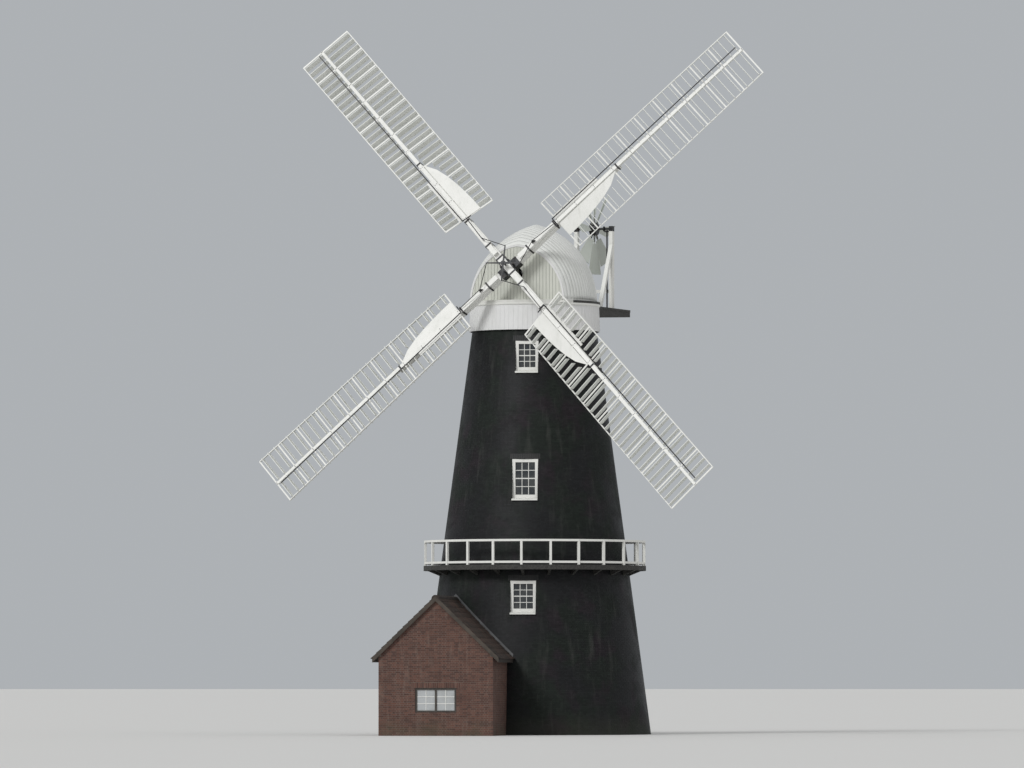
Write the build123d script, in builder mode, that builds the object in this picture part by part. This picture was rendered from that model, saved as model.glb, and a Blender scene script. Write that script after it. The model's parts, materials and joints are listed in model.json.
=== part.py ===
from build123d import *
from math import atan2, cos, radians, sin, sqrt, tan
import os

os.makedirs("parts", exist_ok=True)

# A tarred brick tower mill, in millimetres, +Z up.
# The origin is the centre of the tower at the ground.
# The window column and the annexe gable face -Y, and the cap is turned to the wind.

# Clearances
seat_gap = 0.3                  # between a piece and what carries it
running_gap = 0.3               # round a journal, and between the track and the cap circle

# Tower
tower_height = 17000            # ground to the top of the brickwork
base_radius = 4880              # outside of the wall at the ground
top_radius = 2600               # outside of the wall under the curb
base_wall = 600
top_wall = 450
floor_thickness = 200
ground_slab = 150
gallery_level = 7050            # top of the gallery's deck, and of the floor at its door
floor_levels = [4200, gallery_level, 9300, tower_height - 2600]

# Windows, one column in front and the same behind: floor, sill above it, width, height
window_rows = [(0, 790, 1070, 1400), (2, 430, 1080, 1720), (3, 660, 960, 1340)]
windows = [(floor_levels[floor] + rise, width, height) for floor, rise, width, height in window_rows]
window_face = 130               # width of the white frame seen from outside
window_depth = 120
window_recess = 25              # from the wall's face at the head to the frame
sill_height = 110
sill_nose = 60                  # how far the sill stands out of the wall
glass_thickness = 8

# Doors
tower_door = (1100, 2150)       # width, height
gallery_door = (900, 1900)
annexe_door = (950, 2050)
door_leaf = 50
door_frame_face = 90
door_frame_depth = 110
door_recess = 160

# Gallery
gallery_radius = 4700           # to the corners of the deck
gallery_bays = 24
deck_boards = 60
rim_height = 140
rim_width = 90
bracket_width = 100
bracket_root = 360              # depth of a bracket at the wall
bracket_tip = 110
post_width = 95
post_inset = 75                 # from the deck's corner to the middle of the post
rail_height = 1060              # deck to the top of the hand rail
top_rail = (105, 90)            # width, height
low_rail = (60, 90)
low_rail_lift = 70

# Curb and cap circle
curb_height = 300
track_radius = 2380
track_width = 120
track_height = 40
cap_circle_width = 240
cap_circle_height = 260

# Cap: distances along the cap are positive behind the tower's axis
cap_yaw = -14.6                 # degrees the cap is turned from the building's front
sheer_spacing = 2500
sheer_width = 260
sheer_depth = 420
sheer_tail_depth = 200
sheer_taper_start = 2950
sheer_overrun = 60              # in front of the roof
cap_deck_thickness = 100
cap_deck_radius = 2760
cap_deck_tail = 4300            # the fan stage starts here
cap_deck_hole = 1650
petticoat_radius = 2700
petticoat_drop = 120            # below the top of the brickwork
petticoat_flare = 40
petticoat_board = 40
moulding_depth = 110            # of the moulding under the eaves of the cap
moulding_width = 55
roof_shell = 60
# Sections of the boat-shaped roof: distance behind the axis, half width, rise
roof_sections = [(-2000, 2100, 2330), (-1100, 2400, 2950), (0, 2520, 3260), (1300, 2300, 3180),
                 (2600, 1620, 2700), (3500, 900, 2100), (4200, 200, 1350)]
breast_board = 50
breast_clearance = 12           # behind the roof's shell
breast_hole_clearance = 60      # round the shaft's neck

# Windshaft
shaft_tilt = 13.5               # degrees above level
hub_forward = 2950              # hub in front of the tower's axis
hub_rise = 1340                 # hub above the cap's deck
shaft_radius = 150
neck_radius = 190
neck_length = 360
neck_place = -1640              # distance behind the axis, so in front of it
tail_place = 1150
weather_beam = (3000, 300, 260)
tail_beam = (3300, 300)
beam_gap = 4                    # between a beam's top and the shaft over it
bearing_length = 240
bearing_width = 560
tail_bearing_width = 480
bearing_cover = 1.1             # height of a bearing over its bore's middle, in radii
weather_post = 260

# Sails, seen from the front: angles clockwise from the top of the first stock's arm
sail_turn = -44
sail_radius = 13320
stock_half_length = 6300
stock_width = 300
stock_depth = 300
stock_end = (190, 180)          # width and depth at the ends
stock_spacing = 400             # between the two stocks along the windshaft
canister_wall = 50
canister_sleeve = 1000
canister_core = 270
canister_back = 460
strap_width = 70
strap_thickness = 12
strap_places = [1150, 2650, 6180]       # straps that hold a whip to its stock
whip_start = 620
whip_heel = (210, 190)          # width and depth
whip_tip = (110, 90)
heel_radius = 2820              # first bar of the frame
bay_count = 10
trailing_width = 1400
leading_width = 1050
bar_width = 60
bar_depth = 40
hemlath_width = 75
hemlath_depth = 35
weather_heel = 18               # degrees at the heel and at the tip
weather_tip = 6
shutters_per_bay = 3
shutter_width = 320
shutter_thickness = 22
shutter_open = 84               # degrees from closed
shutter_gap = 12
leaf_width = 780                # heel board on the trailing side
leaf_end = 6000
strip_width = 300               # narrow heel board on the leading side
strip_end = 5200
heel_board = 25
board_gap = 0.8                 # clears the bars between two rows of the lofted boards

# Fantail
fan_place = 7000
fan_rise = 3480                 # fan's axis above the cap's deck
fan_radius = 1950
fan_blades = 8
blade_start = 620
blade_root = 260
blade_tip = 620
blade_thickness = 25
blade_pitch = 38
fan_spindle_radius = 45
fan_hub_radius = 260
fan_hub_length = 300
fan_star_radius = 560           # iron arms on both sides of each blade's stem
fan_star_plate = 16
fan_arm = 70
fan_post_spacing = 1600
fan_post = (160, 240)           # across and along the cap
fan_bearing_height = 220
fan_strut = 130
fan_strut_base = 170
fan_strut_foot = 5500
fan_strut_drop = 700            # below the fan's axis
fan_rail_rise = 800             # cross rail above the stage
fan_rail_depth = 140
fan_rail_width = 70
bevel_radius = 105
bevel_width = 55
bevel_teeth = 18
bevel_clearance = 15
drive_offset = 590              # fan's down shaft, from the middle of the cap
drive_radius = 32
stage_end = 7700
stage_half_width = 1400

# Striking gear, which opens and shuts the shutters
striking_rod_radius = 35
spider_lift = 300               # spider in front of the first stock's face
spider_hub = 110
spider_thickness = 50
spider_reach = 780
spider_arm = (80, 45)           # width at the hub and at the tip
link_radius = 16
crank_place = 1500              # bell crank, from the hub
crank_height = 190
crank_thickness = 24
yoke_place = 2720
shutter_bar = (44, 12)
shutter_bar_side = 205          # from the whip's middle
shutter_bar_end = 13150

# Annexe
annexe_width = 4700
annexe_middle = -2970
annexe_front = -9200
annexe_back = -2850
annexe_wall = 230
annexe_eaves = 3150
annexe_pitch = 44
annexe_eaves_overhang = 250
annexe_verge = 120
annexe_roof_thickness = 110
annexe_slab = 100
annexe_window = (1700, 1000)
annexe_window_sill = 950
annexe_frame_face = 80
ridge_radius = 150

# Worked out from the sizes above
curb_top = tower_height + curb_height
track_top = curb_top + track_height
cap_circle_base = track_top + running_gap
sheer_base = cap_circle_base + cap_circle_height
cap_deck_base = sheer_base + sheer_depth
cap_base = cap_deck_base + cap_deck_thickness
hub_height = cap_base + hub_rise
fan_height = cap_base + fan_rise
fan_strut_head = fan_height - fan_strut_drop
bay_pitch = (sail_radius - bar_width / 2 - heel_radius) / bay_count
ridge_half_span = annexe_width / 2 + annexe_eaves_overhang
annexe_ridge_height = annexe_eaves + ridge_half_span * tan(radians(annexe_pitch))
annexe_roof_drop = annexe_roof_thickness / cos(radians(annexe_pitch))


def save(builder, name):
    """Labels a finished piece and writes it."""
    builder.part.label = name
    export_step(builder.part, f"parts/{name}.step")


def wall_radius(height):
    return base_radius + (top_radius - base_radius) * height / tower_height


def bore_radius(height):
    wall = base_wall + (top_wall - base_wall) * height / tower_height
    return wall_radius(height) - wall


def radial_plane(angle):
    """An upright plane through the tower's axis: x runs outwards at the angle from +X."""
    return Plane(origin=(0, 0, 0), x_dir=(cos(radians(angle)), sin(radians(angle)), 0),
                 z_dir=(sin(radians(angle)), -cos(radians(angle)), 0))


def on_cap(plane):
    """Turns a plane of the unturned cap with the cap."""
    return Plane(Location((0, 0, 0), (0, 0, cap_yaw)) * plane.location)


def cap_level(height):
    return on_cap(Plane.XY.offset(height))


def cap_section(place, height=cap_base):
    """An upright plane across the cap, x to the side and y up."""
    return on_cap(Plane(origin=(0, place, height), x_dir=(1, 0, 0), z_dir=(0, -1, 0)))


def cap_side(offset):
    """An upright plane along the cap, x to the rear and y up."""
    return on_cap(Plane(origin=(offset, 0, 0), x_dir=(0, 1, 0), z_dir=(1, 0, 0)))


def shaft_plane(along):
    """A plane across the windshaft, x to the side and z forward along the shaft."""
    tilt = radians(shaft_tilt)
    hub = Vector(0, -hub_forward, hub_height)
    forward = Vector(0, -cos(tilt), sin(tilt))
    return on_cap(Plane(origin=hub + forward * along, x_dir=(1, 0, 0), z_dir=forward))


def shaft_along(place):
    """Distance along the windshaft of the point at this distance behind the tower's axis."""
    return -(hub_forward + place) / cos(radians(shaft_tilt))


def shaft_height(place):
    return hub_height - (hub_forward + place) * tan(radians(shaft_tilt))


# The tower wall is a tapered shell in four quarters, with the windows and doors cut through.
wall_quarters = {"front": 225, "right": 315, "back": 45, "left": 135}
for side, start in wall_quarters.items():
    with BuildPart() as wall:
        with BuildSketch(radial_plane(start)):
            with BuildLine():
                Polyline((bore_radius(0), 0), (base_radius, 0), (top_radius, tower_height),
                         (bore_radius(tower_height), tower_height), close=True)
            make_face()
        revolve(axis=Axis.Z, revolution_arc=90)
        if side in ("front", "back"):
            facing = -1 if side == "front" else 1
            for sill, width, height in windows:
                with Locations((0, facing * wall_radius(sill), sill + height / 2)):
                    Box(width, 3 * base_wall, height, mode=Mode.SUBTRACT)
        if side == "back":
            with Locations((0, wall_radius(0), ground_slab + tower_door[1] / 2)):
                Box(tower_door[0], 4 * base_wall, tower_door[1], mode=Mode.SUBTRACT)
            with Locations((0, wall_radius(gallery_level), gallery_level + gallery_door[1] / 2)):
                Box(gallery_door[0], 4 * base_wall, gallery_door[1], mode=Mode.SUBTRACT)
    save(wall, f"tower_wall_{side}")

# The whole outside of the tower, as a tool that ends other pieces against it
with BuildPart() as tower_outside:
    with BuildSketch(Plane.XZ):
        with BuildLine():
            Polyline((0, 0), (base_radius + seat_gap, 0), (top_radius + seat_gap, tower_height),
                     (0, tower_height), close=True)
        make_face()
    revolve(axis=Axis.Z)

with BuildPart() as ground_floor:
    with BuildSketch(Plane.XY):
        Circle(bore_radius(ground_slab) - seat_gap)
    extrude(amount=ground_slab)
save(ground_floor, "ground_floor")

with BuildPart() as upper_floors:
    for level in floor_levels:
        with BuildSketch(Plane.XY.offset(level - floor_thickness)):
            Circle(bore_radius(level) - seat_gap)
        extrude(amount=floor_thickness)
save(upper_floors, "upper_floors")

# Windows: the frame stands upright in the battered wall, so its foot is set deeper than its head.
with BuildPart() as window_frames:
    for facing in (-1, 1):
        for sill, width, height in windows:
            face = wall_radius(sill + height) - window_recess
            clear_height = height - sill_height
            middle = (0, facing * (face - window_depth / 2), sill + sill_height + clear_height / 2)
            with Locations(middle):
                Box(width, window_depth, clear_height)
                Box(width - 2 * window_face, 2 * window_depth, clear_height - 2 * window_face,
                    mode=Mode.SUBTRACT)
save(window_frames, "window_frames")

with BuildPart() as window_glass:
    for facing in (-1, 1):
        for sill, width, height in windows:
            face = wall_radius(sill + height) - window_recess
            clear_height = height - sill_height
            middle = (0, facing * (face - window_depth / 2), sill + sill_height + clear_height / 2)
            with Locations(middle):
                Box(width - 2 * window_face, glass_thickness, clear_height - 2 * window_face)
save(window_glass, "window_glass")

with BuildPart() as window_sills:
    for facing in (-1, 1):
        for sill, width, height in windows:
            inner = wall_radius(sill + height) - window_recess - window_depth
            outer = wall_radius(sill) + sill_nose
            with BuildSketch(Plane(origin=(-width / 2, 0, 0), x_dir=(0, facing, 0),
                                   z_dir=(facing, 0, 0))):
                with BuildLine():
                    Polyline((inner, sill), (outer, sill), (outer, sill + 0.55 * sill_height),
                             (inner + window_depth, sill + sill_height),
                             (inner, sill + sill_height), close=True)
                make_face()
            extrude(amount=facing * width)
save(window_sills, "window_sills")

# Doors, shut, in plain frames: two in the back of the tower and one in the annexe's left side
annexe_left = annexe_middle - annexe_width / 2
door_places = [
    ((0, wall_radius(ground_slab + tower_door[1]) - door_recess, ground_slab), 180, tower_door),
    ((0, wall_radius(gallery_level + gallery_door[1]) - door_recess / 2, gallery_level), 180,
     gallery_door),
    ((annexe_left + door_frame_depth, (annexe_front + annexe_back) / 2, annexe_slab), -90,
     annexe_door),
]

with BuildPart() as door_frames:
    for place, turn, (width, height) in door_places:
        with Locations(Location(place, (0, 0, turn))):
            with Locations((0, door_frame_depth / 2, height / 2)):
                Box(width, door_frame_depth, height)
            with Locations((0, door_frame_depth / 2, (height - door_frame_face) / 2)):
                Box(width - 2 * door_frame_face, 2 * door_frame_depth, height - door_frame_face,
                    mode=Mode.SUBTRACT)
save(door_frames, "door_frames")

with BuildPart() as doors:
    for place, turn, (width, height) in door_places:
        with Locations(Location(place, (0, 0, turn))):
            with Locations((0, door_frame_depth / 2, (height - door_frame_face) / 2)):
                Box(width - 2 * door_frame_face, door_leaf, height - door_frame_face)
save(doors, "doors")

# Gallery: a deck of straight bays on brackets, with a rail of posts and two rails
deck_underside = gallery_level - deck_boards
deck_seat = wall_radius(deck_underside) + seat_gap
post_circle = gallery_radius - post_inset

with BuildPart() as gallery_deck:
    with BuildSketch(Plane.XY.offset(deck_underside)):
        RegularPolygon(gallery_radius, gallery_bays)
        Circle(deck_seat, mode=Mode.SUBTRACT)
    extrude(amount=deck_boards)
save(gallery_deck, "gallery_deck")

with BuildPart() as gallery_rim:
    with BuildSketch(Plane.XY.offset(deck_underside - rim_height)):
        RegularPolygon(gallery_radius, gallery_bays)
        RegularPolygon(gallery_radius - rim_width, gallery_bays, mode=Mode.SUBTRACT)
    extrude(amount=rim_height)
save(gallery_rim, "gallery_rim")

with BuildPart() as gallery_brackets:
    bracket_low = deck_underside - bracket_root
    bracket_end = gallery_radius - rim_width - seat_gap - bracket_width / 8
    with BuildSketch(radial_plane(0).offset(-bracket_width / 2)):
        with BuildLine():
            Polyline((wall_radius(bracket_low) + seat_gap, bracket_low),
                     (bracket_end, deck_underside - bracket_tip), (bracket_end, deck_underside),
                     (wall_radius(deck_underside) + seat_gap, deck_underside), close=True)
        make_face()
    bracket = extrude(amount=bracket_width, mode=Mode.PRIVATE)
    with PolarLocations(0, gallery_bays):
        add(bracket)
save(gallery_brackets, "gallery_brackets")

post_height = rail_height - top_rail[1]
with BuildPart() as gallery_posts:
    with BuildSketch(Plane.XY.offset(gallery_level)):
        with PolarLocations(post_circle, gallery_bays):
            Rectangle(post_width, post_width)
    extrude(amount=post_height)
save(gallery_posts, "gallery_posts")

with BuildPart() as gallery_top_rail:
    with BuildSketch(Plane.XY.offset(gallery_level + post_height)):
        RegularPolygon(post_circle + top_rail[0] / 2, gallery_bays)
        RegularPolygon(post_circle - top_rail[0] / 2, gallery_bays, mode=Mode.SUBTRACT)
    extrude(amount=top_rail[1])
save(gallery_top_rail, "gallery_top_rail")

with BuildPart() as gallery_low_rail:
    with BuildSketch(Plane.XY.offset(gallery_level + low_rail_lift)):
        RegularPolygon(post_circle + low_rail[0] / 2, gallery_bays)
        RegularPolygon(post_circle - low_rail[0] / 2, gallery_bays, mode=Mode.SUBTRACT)
        with PolarLocations(post_circle, gallery_bays):
            Rectangle(post_width, post_width, mode=Mode.SUBTRACT)
    extrude(amount=low_rail[1])
save(gallery_low_rail, "gallery_low_rail")

# Curb with its track, on top of the wall
with BuildPart() as curb_ring:
    with BuildSketch(Plane.XZ):
        with BuildLine():
            Polyline((bore_radius(tower_height), tower_height), (top_radius, tower_height),
                     (top_radius, curb_top), (track_radius + track_width / 2, curb_top),
                     (track_radius + track_width / 2, track_top),
                     (track_radius - track_width / 2, track_top),
                     (track_radius - track_width / 2, curb_top),
                     (bore_radius(tower_height), curb_top), close=True)
        make_face()
    revolve(axis=Axis.Z)
save(curb_ring, "curb_ring")

# Cap frame: a circle that rides on the track, two sheers, and a boarded deck
with BuildPart() as cap_circle:
    with BuildSketch(Plane.XY.offset(cap_circle_base)):
        Circle(track_radius + cap_circle_width / 2)
        Circle(track_radius - cap_circle_width / 2, mode=Mode.SUBTRACT)
    extrude(amount=cap_circle_height)
save(cap_circle, "cap_circle")

sheer_front = roof_sections[0][0] - sheer_overrun
with BuildPart() as cap_sheers:
    for side in (-1, 1):
        with BuildSketch(cap_side(side * sheer_spacing / 2 - sheer_width / 2)):
            with BuildLine():
                Polyline((sheer_front, sheer_base), (sheer_taper_start, sheer_base),
                         (stage_end, cap_deck_base - sheer_tail_depth), (stage_end, cap_deck_base),
                         (sheer_front, cap_deck_base), close=True)
            make_face()
        extrude(amount=sheer_width)
save(cap_sheers, "cap_sheers")

roof_front, front_half, _ = roof_sections[0]
walk_start = roof_sections[3][0]
with BuildPart() as cap_deck:
    with BuildSketch(cap_level(cap_deck_base)):
        Circle(cap_deck_radius)
        with BuildLine():
            rim = [(-half, place) for place, half, _ in roof_sections]
            left = Spline(*rim)
            mirror(left, about=Plane.YZ)
            Line((-front_half, roof_front), (front_half, roof_front))
            Line(rim[-1], (-rim[-1][0], rim[-1][1]))
        make_face()
        with Locations((0, (walk_start + cap_deck_tail) / 2)):
            Rectangle(2 * stage_half_width, cap_deck_tail - walk_start)
        Circle(cap_deck_hole, mode=Mode.SUBTRACT)
    extrude(amount=cap_deck_thickness)
save(cap_deck, "cap_deck")

with BuildPart() as fan_stage:
    with BuildSketch(cap_level(cap_deck_base)):
        with Locations((0, (cap_deck_tail + seat_gap + stage_end) / 2)):
            Rectangle(2 * stage_half_width, stage_end - cap_deck_tail - seat_gap)
    extrude(amount=cap_deck_thickness)
save(fan_stage, "fan_stage")

# Petticoat: a flared skirt of boards under a moulding, open where the sheers run out behind
petticoat_foot = tower_height - petticoat_drop
petticoat_slope = petticoat_flare / (cap_deck_base - petticoat_foot)
with BuildPart() as sheer_ways:
    with BuildSketch(cap_level(sheer_base - seat_gap)):
        with Locations((-sheer_spacing / 2, petticoat_radius), (sheer_spacing / 2, petticoat_radius)):
            Rectangle(sheer_width + 2 * seat_gap, 2 * petticoat_radius)
    extrude(amount=sheer_depth + seat_gap)

with BuildPart() as cap_petticoat:
    with BuildSketch(on_cap(Plane.XZ)):
        with BuildLine():
            Polyline((petticoat_radius - petticoat_board, cap_deck_base),
                     (petticoat_radius, cap_deck_base),
                     (petticoat_radius + petticoat_flare, petticoat_foot),
                     (petticoat_radius + petticoat_flare - petticoat_board, petticoat_foot),
                     close=True)
        make_face()
    revolve(axis=Axis.Z)
    add(sheer_ways.part, mode=Mode.SUBTRACT)
save(cap_petticoat, "cap_petticoat")

with BuildPart() as cap_moulding:
    back = petticoat_radius + seat_gap
    back_foot = back + moulding_depth * petticoat_slope
    with BuildSketch(on_cap(Plane.XZ)):
        with BuildLine():
            Line((back_foot, cap_deck_base - moulding_depth), (back, cap_deck_base))
            Line((back, cap_deck_base), (back + moulding_width, cap_deck_base))
            Line((back + moulding_width, cap_deck_base),
                 (back + moulding_width, cap_deck_base - moulding_depth / 3))
            ThreePointArc((back + moulding_width, cap_deck_base - moulding_depth / 3),
                          (back + moulding_width * 0.7, cap_deck_base - moulding_depth * 0.8),
                          (back_foot, cap_deck_base - moulding_depth))
        make_face()
    revolve(axis=Axis.Z)
    add(sheer_ways.part, mode=Mode.SUBTRACT)
save(cap_moulding, "cap_moulding")


# Roof of the cap: pointed arches, lofted into the form of an upturned boat
def pointed_arch(half_width, rise):
    """Two arcs that stand upright on the base line and meet at the ridge."""
    radius = (half_width ** 2 + rise ** 2) / (2 * half_width)
    centre = half_width - radius
    middle_angle = atan2(rise, -centre) / 2
    side = (centre + radius * cos(middle_angle), radius * sin(middle_angle))
    with BuildSketch(Plane.XY) as arch:
        with BuildLine():
            ThreePointArc((half_width, 0), side, (0, rise))
            ThreePointArc((0, rise), (-side[0], side[1]), (-half_width, 0))
            Line((-half_width, 0), (half_width, 0))
        make_face()
    return arch.sketch


with BuildPart() as cap_roof:
    for place, half_width, rise in roof_sections:
        with BuildSketch(cap_section(place)):
            add(pointed_arch(half_width, rise))
    loft()
    for place, half_width, rise in roof_sections:
        inner_place = min(place, roof_sections[-1][0] - roof_shell)
        with BuildSketch(cap_section(inner_place)):
            add(pointed_arch(half_width - roof_shell, rise - roof_shell))
    loft(mode=Mode.SUBTRACT)
save(cap_roof, "cap_roof")

with BuildPart() as cap_breast:
    with BuildSketch(cap_section(roof_front + breast_board)):
        add(pointed_arch(front_half - roof_shell - breast_clearance,
                         roof_sections[0][2] - roof_shell - breast_clearance))
    extrude(amount=breast_board)
    with BuildSketch(shaft_plane(0)):
        Circle(neck_radius + breast_hole_clearance)
    extrude(amount=-hub_forward, mode=Mode.SUBTRACT)
save(cap_breast, "cap_breast")

# Weather beam on two posts under the shaft's neck, and a tail beam under its end
def beam_top(place, radius, beam_width):
    """Top of a level beam across the cap that stays clear of the shaft above it."""
    tilt = radians(shaft_tilt)
    return shaft_height(place) - radius / cos(tilt) - beam_width / 2 * tan(tilt) - beam_gap


weather_top = beam_top(neck_place, neck_radius, weather_beam[1])
tail_top = beam_top(tail_place, shaft_radius, tail_beam[1])
with BuildPart() as shaft_beams:
    with BuildSketch(cap_section(neck_place + weather_beam[1] / 2, 0)):
        with Locations((0, weather_top - weather_beam[2] / 2)):
            Rectangle(weather_beam[0], weather_beam[2])
        with Locations((-sheer_spacing / 2, (cap_base + weather_top) / 2),
                       (sheer_spacing / 2, (cap_base + weather_top) / 2)):
            Rectangle(weather_post, weather_top - cap_base)
    extrude(amount=weather_beam[1])
    with BuildSketch(cap_level(cap_base)):
        with Locations((0, tail_place)):
            Rectangle(tail_beam[0], tail_beam[1])
    extrude(amount=tail_top - cap_base)
save(shaft_beams, "shaft_beams")

with BuildPart() as shaft_bearings:
    with BuildSketch(cap_section(neck_place + bearing_length / 2, weather_top)):
        with Locations((0, neck_radius * bearing_cover)):
            Rectangle(bearing_width, 2 * bearing_cover * neck_radius)
    extrude(amount=bearing_length)
    with BuildSketch(cap_section(tail_place + bearing_length / 2, tail_top)):
        with Locations((0, shaft_radius * bearing_cover)):
            Rectangle(tail_bearing_width, 2 * bearing_cover * shaft_radius)
    extrude(amount=bearing_length)
    with BuildSketch(shaft_plane(shaft_along(neck_place) - neck_length)):
        Circle(neck_radius + running_gap)
    extrude(amount=2 * neck_length, mode=Mode.SUBTRACT)
    with BuildSketch(shaft_plane(shaft_along(tail_place) - neck_length)):
        Circle(shaft_radius + running_gap)
    extrude(amount=2 * neck_length, mode=Mode.SUBTRACT)
save(shaft_bearings, "shaft_bearings")

# Windshaft: an inclined iron shaft with a thicker neck
shaft_tail = shaft_along(tail_place) - bearing_length
with BuildPart() as windshaft:
    with BuildSketch(shaft_plane(shaft_tail)):
        Circle(shaft_radius)
    extrude(amount=-canister_back - shaft_tail)
    with BuildSketch(shaft_plane(shaft_along(neck_place) - neck_length / 2)):
        Circle(neck_radius)
    extrude(amount=neck_length)
save(windshaft, "windshaft")

# Stocks: two tapered timbers that cross in the canister, one in front of the other
stock_faces = [stock_spacing / 2 + stock_depth / 2, -stock_spacing / 2 + stock_depth / 2]


def sail_location(number, along):
    """The frame of one sail: x to its trailing side, y outwards, z forward."""
    return shaft_plane(along).location * Location((0, 0, 0), (0, 0, -(sail_turn + 90 * number)))


with BuildPart() as stock_arm:
    for distance, (width, depth) in ((0, (stock_width, stock_depth)),
                                     (canister_sleeve / 2, (stock_width, stock_depth))):
        with BuildSketch(Plane.XZ.offset(-distance)):
            with Locations((0, -depth / 2)):
                Rectangle(width, depth)
    loft()
    for distance, (width, depth) in ((canister_sleeve / 2, (stock_width, stock_depth)),
                                     (stock_half_length, stock_end)):
        with BuildSketch(Plane.XZ.offset(-distance)):
            with Locations((0, -depth / 2)):
                Rectangle(width, depth)
    loft()

with BuildPart() as stocks:
    for number in range(4):
        with Locations(sail_location(number, stock_faces[number % 2])):
            add(stock_arm.part)
save(stocks, "stocks")

# Canister: a round core with a sleeve for each stock. The first stock lies in an open channel under two straps.
sleeve_width = stock_width + 2 * canister_wall
with BuildPart() as canister:
    with BuildSketch(shaft_plane(-canister_back)):
        Circle(canister_core)
    extrude(amount=canister_back + stock_faces[0])
    for number in range(2):
        with Locations(sail_location(number, stock_faces[number] - stock_depth / 2)):
            Box(sleeve_width, canister_sleeve, stock_depth + canister_wall)
    with Locations(sail_location(0, stock_faces[0])):
        Box(sleeve_width, 2 * canister_sleeve, 2 * canister_wall,
            align=(Align.CENTER, Align.CENTER, Align.MIN), mode=Mode.SUBTRACT)
    for number in range(2):
        with Locations(sail_location(number, stock_faces[number] - stock_depth / 2)):
            Box(stock_width, 2 * canister_sleeve, stock_depth, mode=Mode.SUBTRACT)
    with Locations(sail_location(0, stock_faces[0] + seat_gap)):
        with Locations((0, (strap_width - canister_sleeve) / 2 + strap_thickness, 0),
                       (0, (canister_sleeve - strap_width) / 2 - strap_thickness, 0)):
            Box(sleeve_width, strap_width, strap_thickness, align=(Align.CENTER, Align.CENTER, Align.MIN))
save(canister, "canister")


# Sails: the whip carries mortised bars, tied at their ends by two hemlaths that follow the twist
def weather(distance):
    share = (distance - heel_radius) / (sail_radius - heel_radius)
    return weather_heel + (weather_tip - weather_heel) * share


def whip_depth(distance):
    share = (distance - whip_start) / (sail_radius - whip_start)
    return whip_heel[1] + (whip_tip[1] - whip_heel[1]) * share


def whip_width(distance):
    share = (distance - whip_start) / (sail_radius - whip_start)
    return whip_heel[0] + (whip_tip[0] - whip_heel[0]) * share


def cloth_location(distance):
    """The surface of the sail at this distance: x along a bar, tilted by the weather."""
    return Location((0, distance, whip_depth(distance) / 2), (0, weather(distance), 0))


bar_places = [heel_radius + bay_pitch * number for number in range(bay_count + 1)]

with BuildPart() as bars:
    for distance in bar_places:
        with Locations(cloth_location(distance) * Location(((trailing_width - leading_width) / 2, 0, 0))):
            Box(trailing_width + leading_width, bar_width, bar_depth)

with BuildPart() as whip:
    for distance in (whip_start, sail_radius):
        with BuildSketch(Plane.XZ.offset(-distance)):
            with Locations((0, whip_depth(distance) / 2)):
                Rectangle(whip_width(distance), whip_depth(distance))
    loft()
    add(bars.part, mode=Mode.SUBTRACT)

with BuildPart() as sail_frame:
    add(bars.part)
    for edge in (-leading_width + hemlath_depth / 2, trailing_width - hemlath_depth / 2):
        for distance in bar_places:
            plane = Plane(cloth_location(distance) * Location((edge, 0, 0), (90, 0, 0)))
            with BuildSketch(plane):
                Rectangle(hemlath_depth, hemlath_width)
        loft(ruled=True)

# The leaf's outer edge is a quarter of an ellipse that narrows outwards
def leaf_edge(distance):
    share = min(1, max(0, (distance - heel_radius) / (leaf_end - heel_radius)))
    return leaf_width * sqrt(1 - share ** 2)


def shutter_span(distance, side):
    """Inner and outer end of a shutter, measured along the bar from the whip's middle."""
    beside = stock_width if distance < stock_half_length + shutter_width else whip_width(distance)
    tilt_room = whip_depth(distance) / 2 * tan(radians(weather(distance)))
    inner = beside / 2 + tilt_room + shutter_gap
    if side > 0:
        if distance < leaf_end:
            inner = max(inner, leaf_edge(distance - bay_pitch / shutters_per_bay) + shutter_gap)
        return inner, trailing_width - hemlath_depth - seat_gap
    if distance < strip_end:
        inner = max(inner, strip_width + shutter_gap)
    return inner, leading_width - hemlath_depth - seat_gap


# Heel boards lie on the bars' front faces, on both sides of the whip, and follow the twist
board_rows = 7


def heel_board_part(side, far_end, outer_edge):
    """A lofted board from the whip's side to its outer edge."""
    with BuildPart() as board:
        for row in range(board_rows):
            distance = heel_radius + (far_end - heel_radius) * row / (board_rows - 1)
            inner = whip_width(distance) / 2 + whip_depth(distance) / 2 * tan(radians(weather(distance)))
            outer = max(outer_edge(distance), inner + heel_board)
            lift = bar_depth / 2 + board_gap + heel_board / 2
            place = cloth_location(distance) * Location((side * (inner + outer) / 2, 0, lift), (90, 0, 0))
            with BuildSketch(Plane(place)):
                Rectangle(outer - inner, heel_board)
        loft(ruled=True)
    return board.part


leaf_board = heel_board_part(1, leaf_end, leaf_edge)
strip_board = heel_board_part(-1, strip_end, lambda distance: strip_width)

with BuildPart() as shutters:
    for number in range(bay_count * shutters_per_bay):
        distance = heel_radius + bay_pitch * (number + 0.5) / shutters_per_bay
        for side in (-1, 1):
            inner, outer = shutter_span(distance, side)
            with Locations(cloth_location(distance)
                           * Location((side * (inner + outer) / 2, 0, 0), (shutter_open, 0, 0))):
                Box(outer - inner, shutter_width, shutter_thickness)

for number in range(4):
    face = stock_faces[number % 2]
    with BuildPart() as placed_frame:
        with Locations(sail_location(number, face)):
            add(sail_frame.part)
    save(placed_frame, f"sail_frame_{number + 1}")
    with BuildPart() as placed_shutters:
        with Locations(sail_location(number, face)):
            add(shutters.part)
    save(placed_shutters, f"shutters_{number + 1}")

with BuildPart() as heel_boards:
    for number in range(4):
        with Locations(sail_location(number, stock_faces[number % 2])):
            add(leaf_board)
            add(strip_board)
save(heel_boards, "heel_boards")

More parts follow.
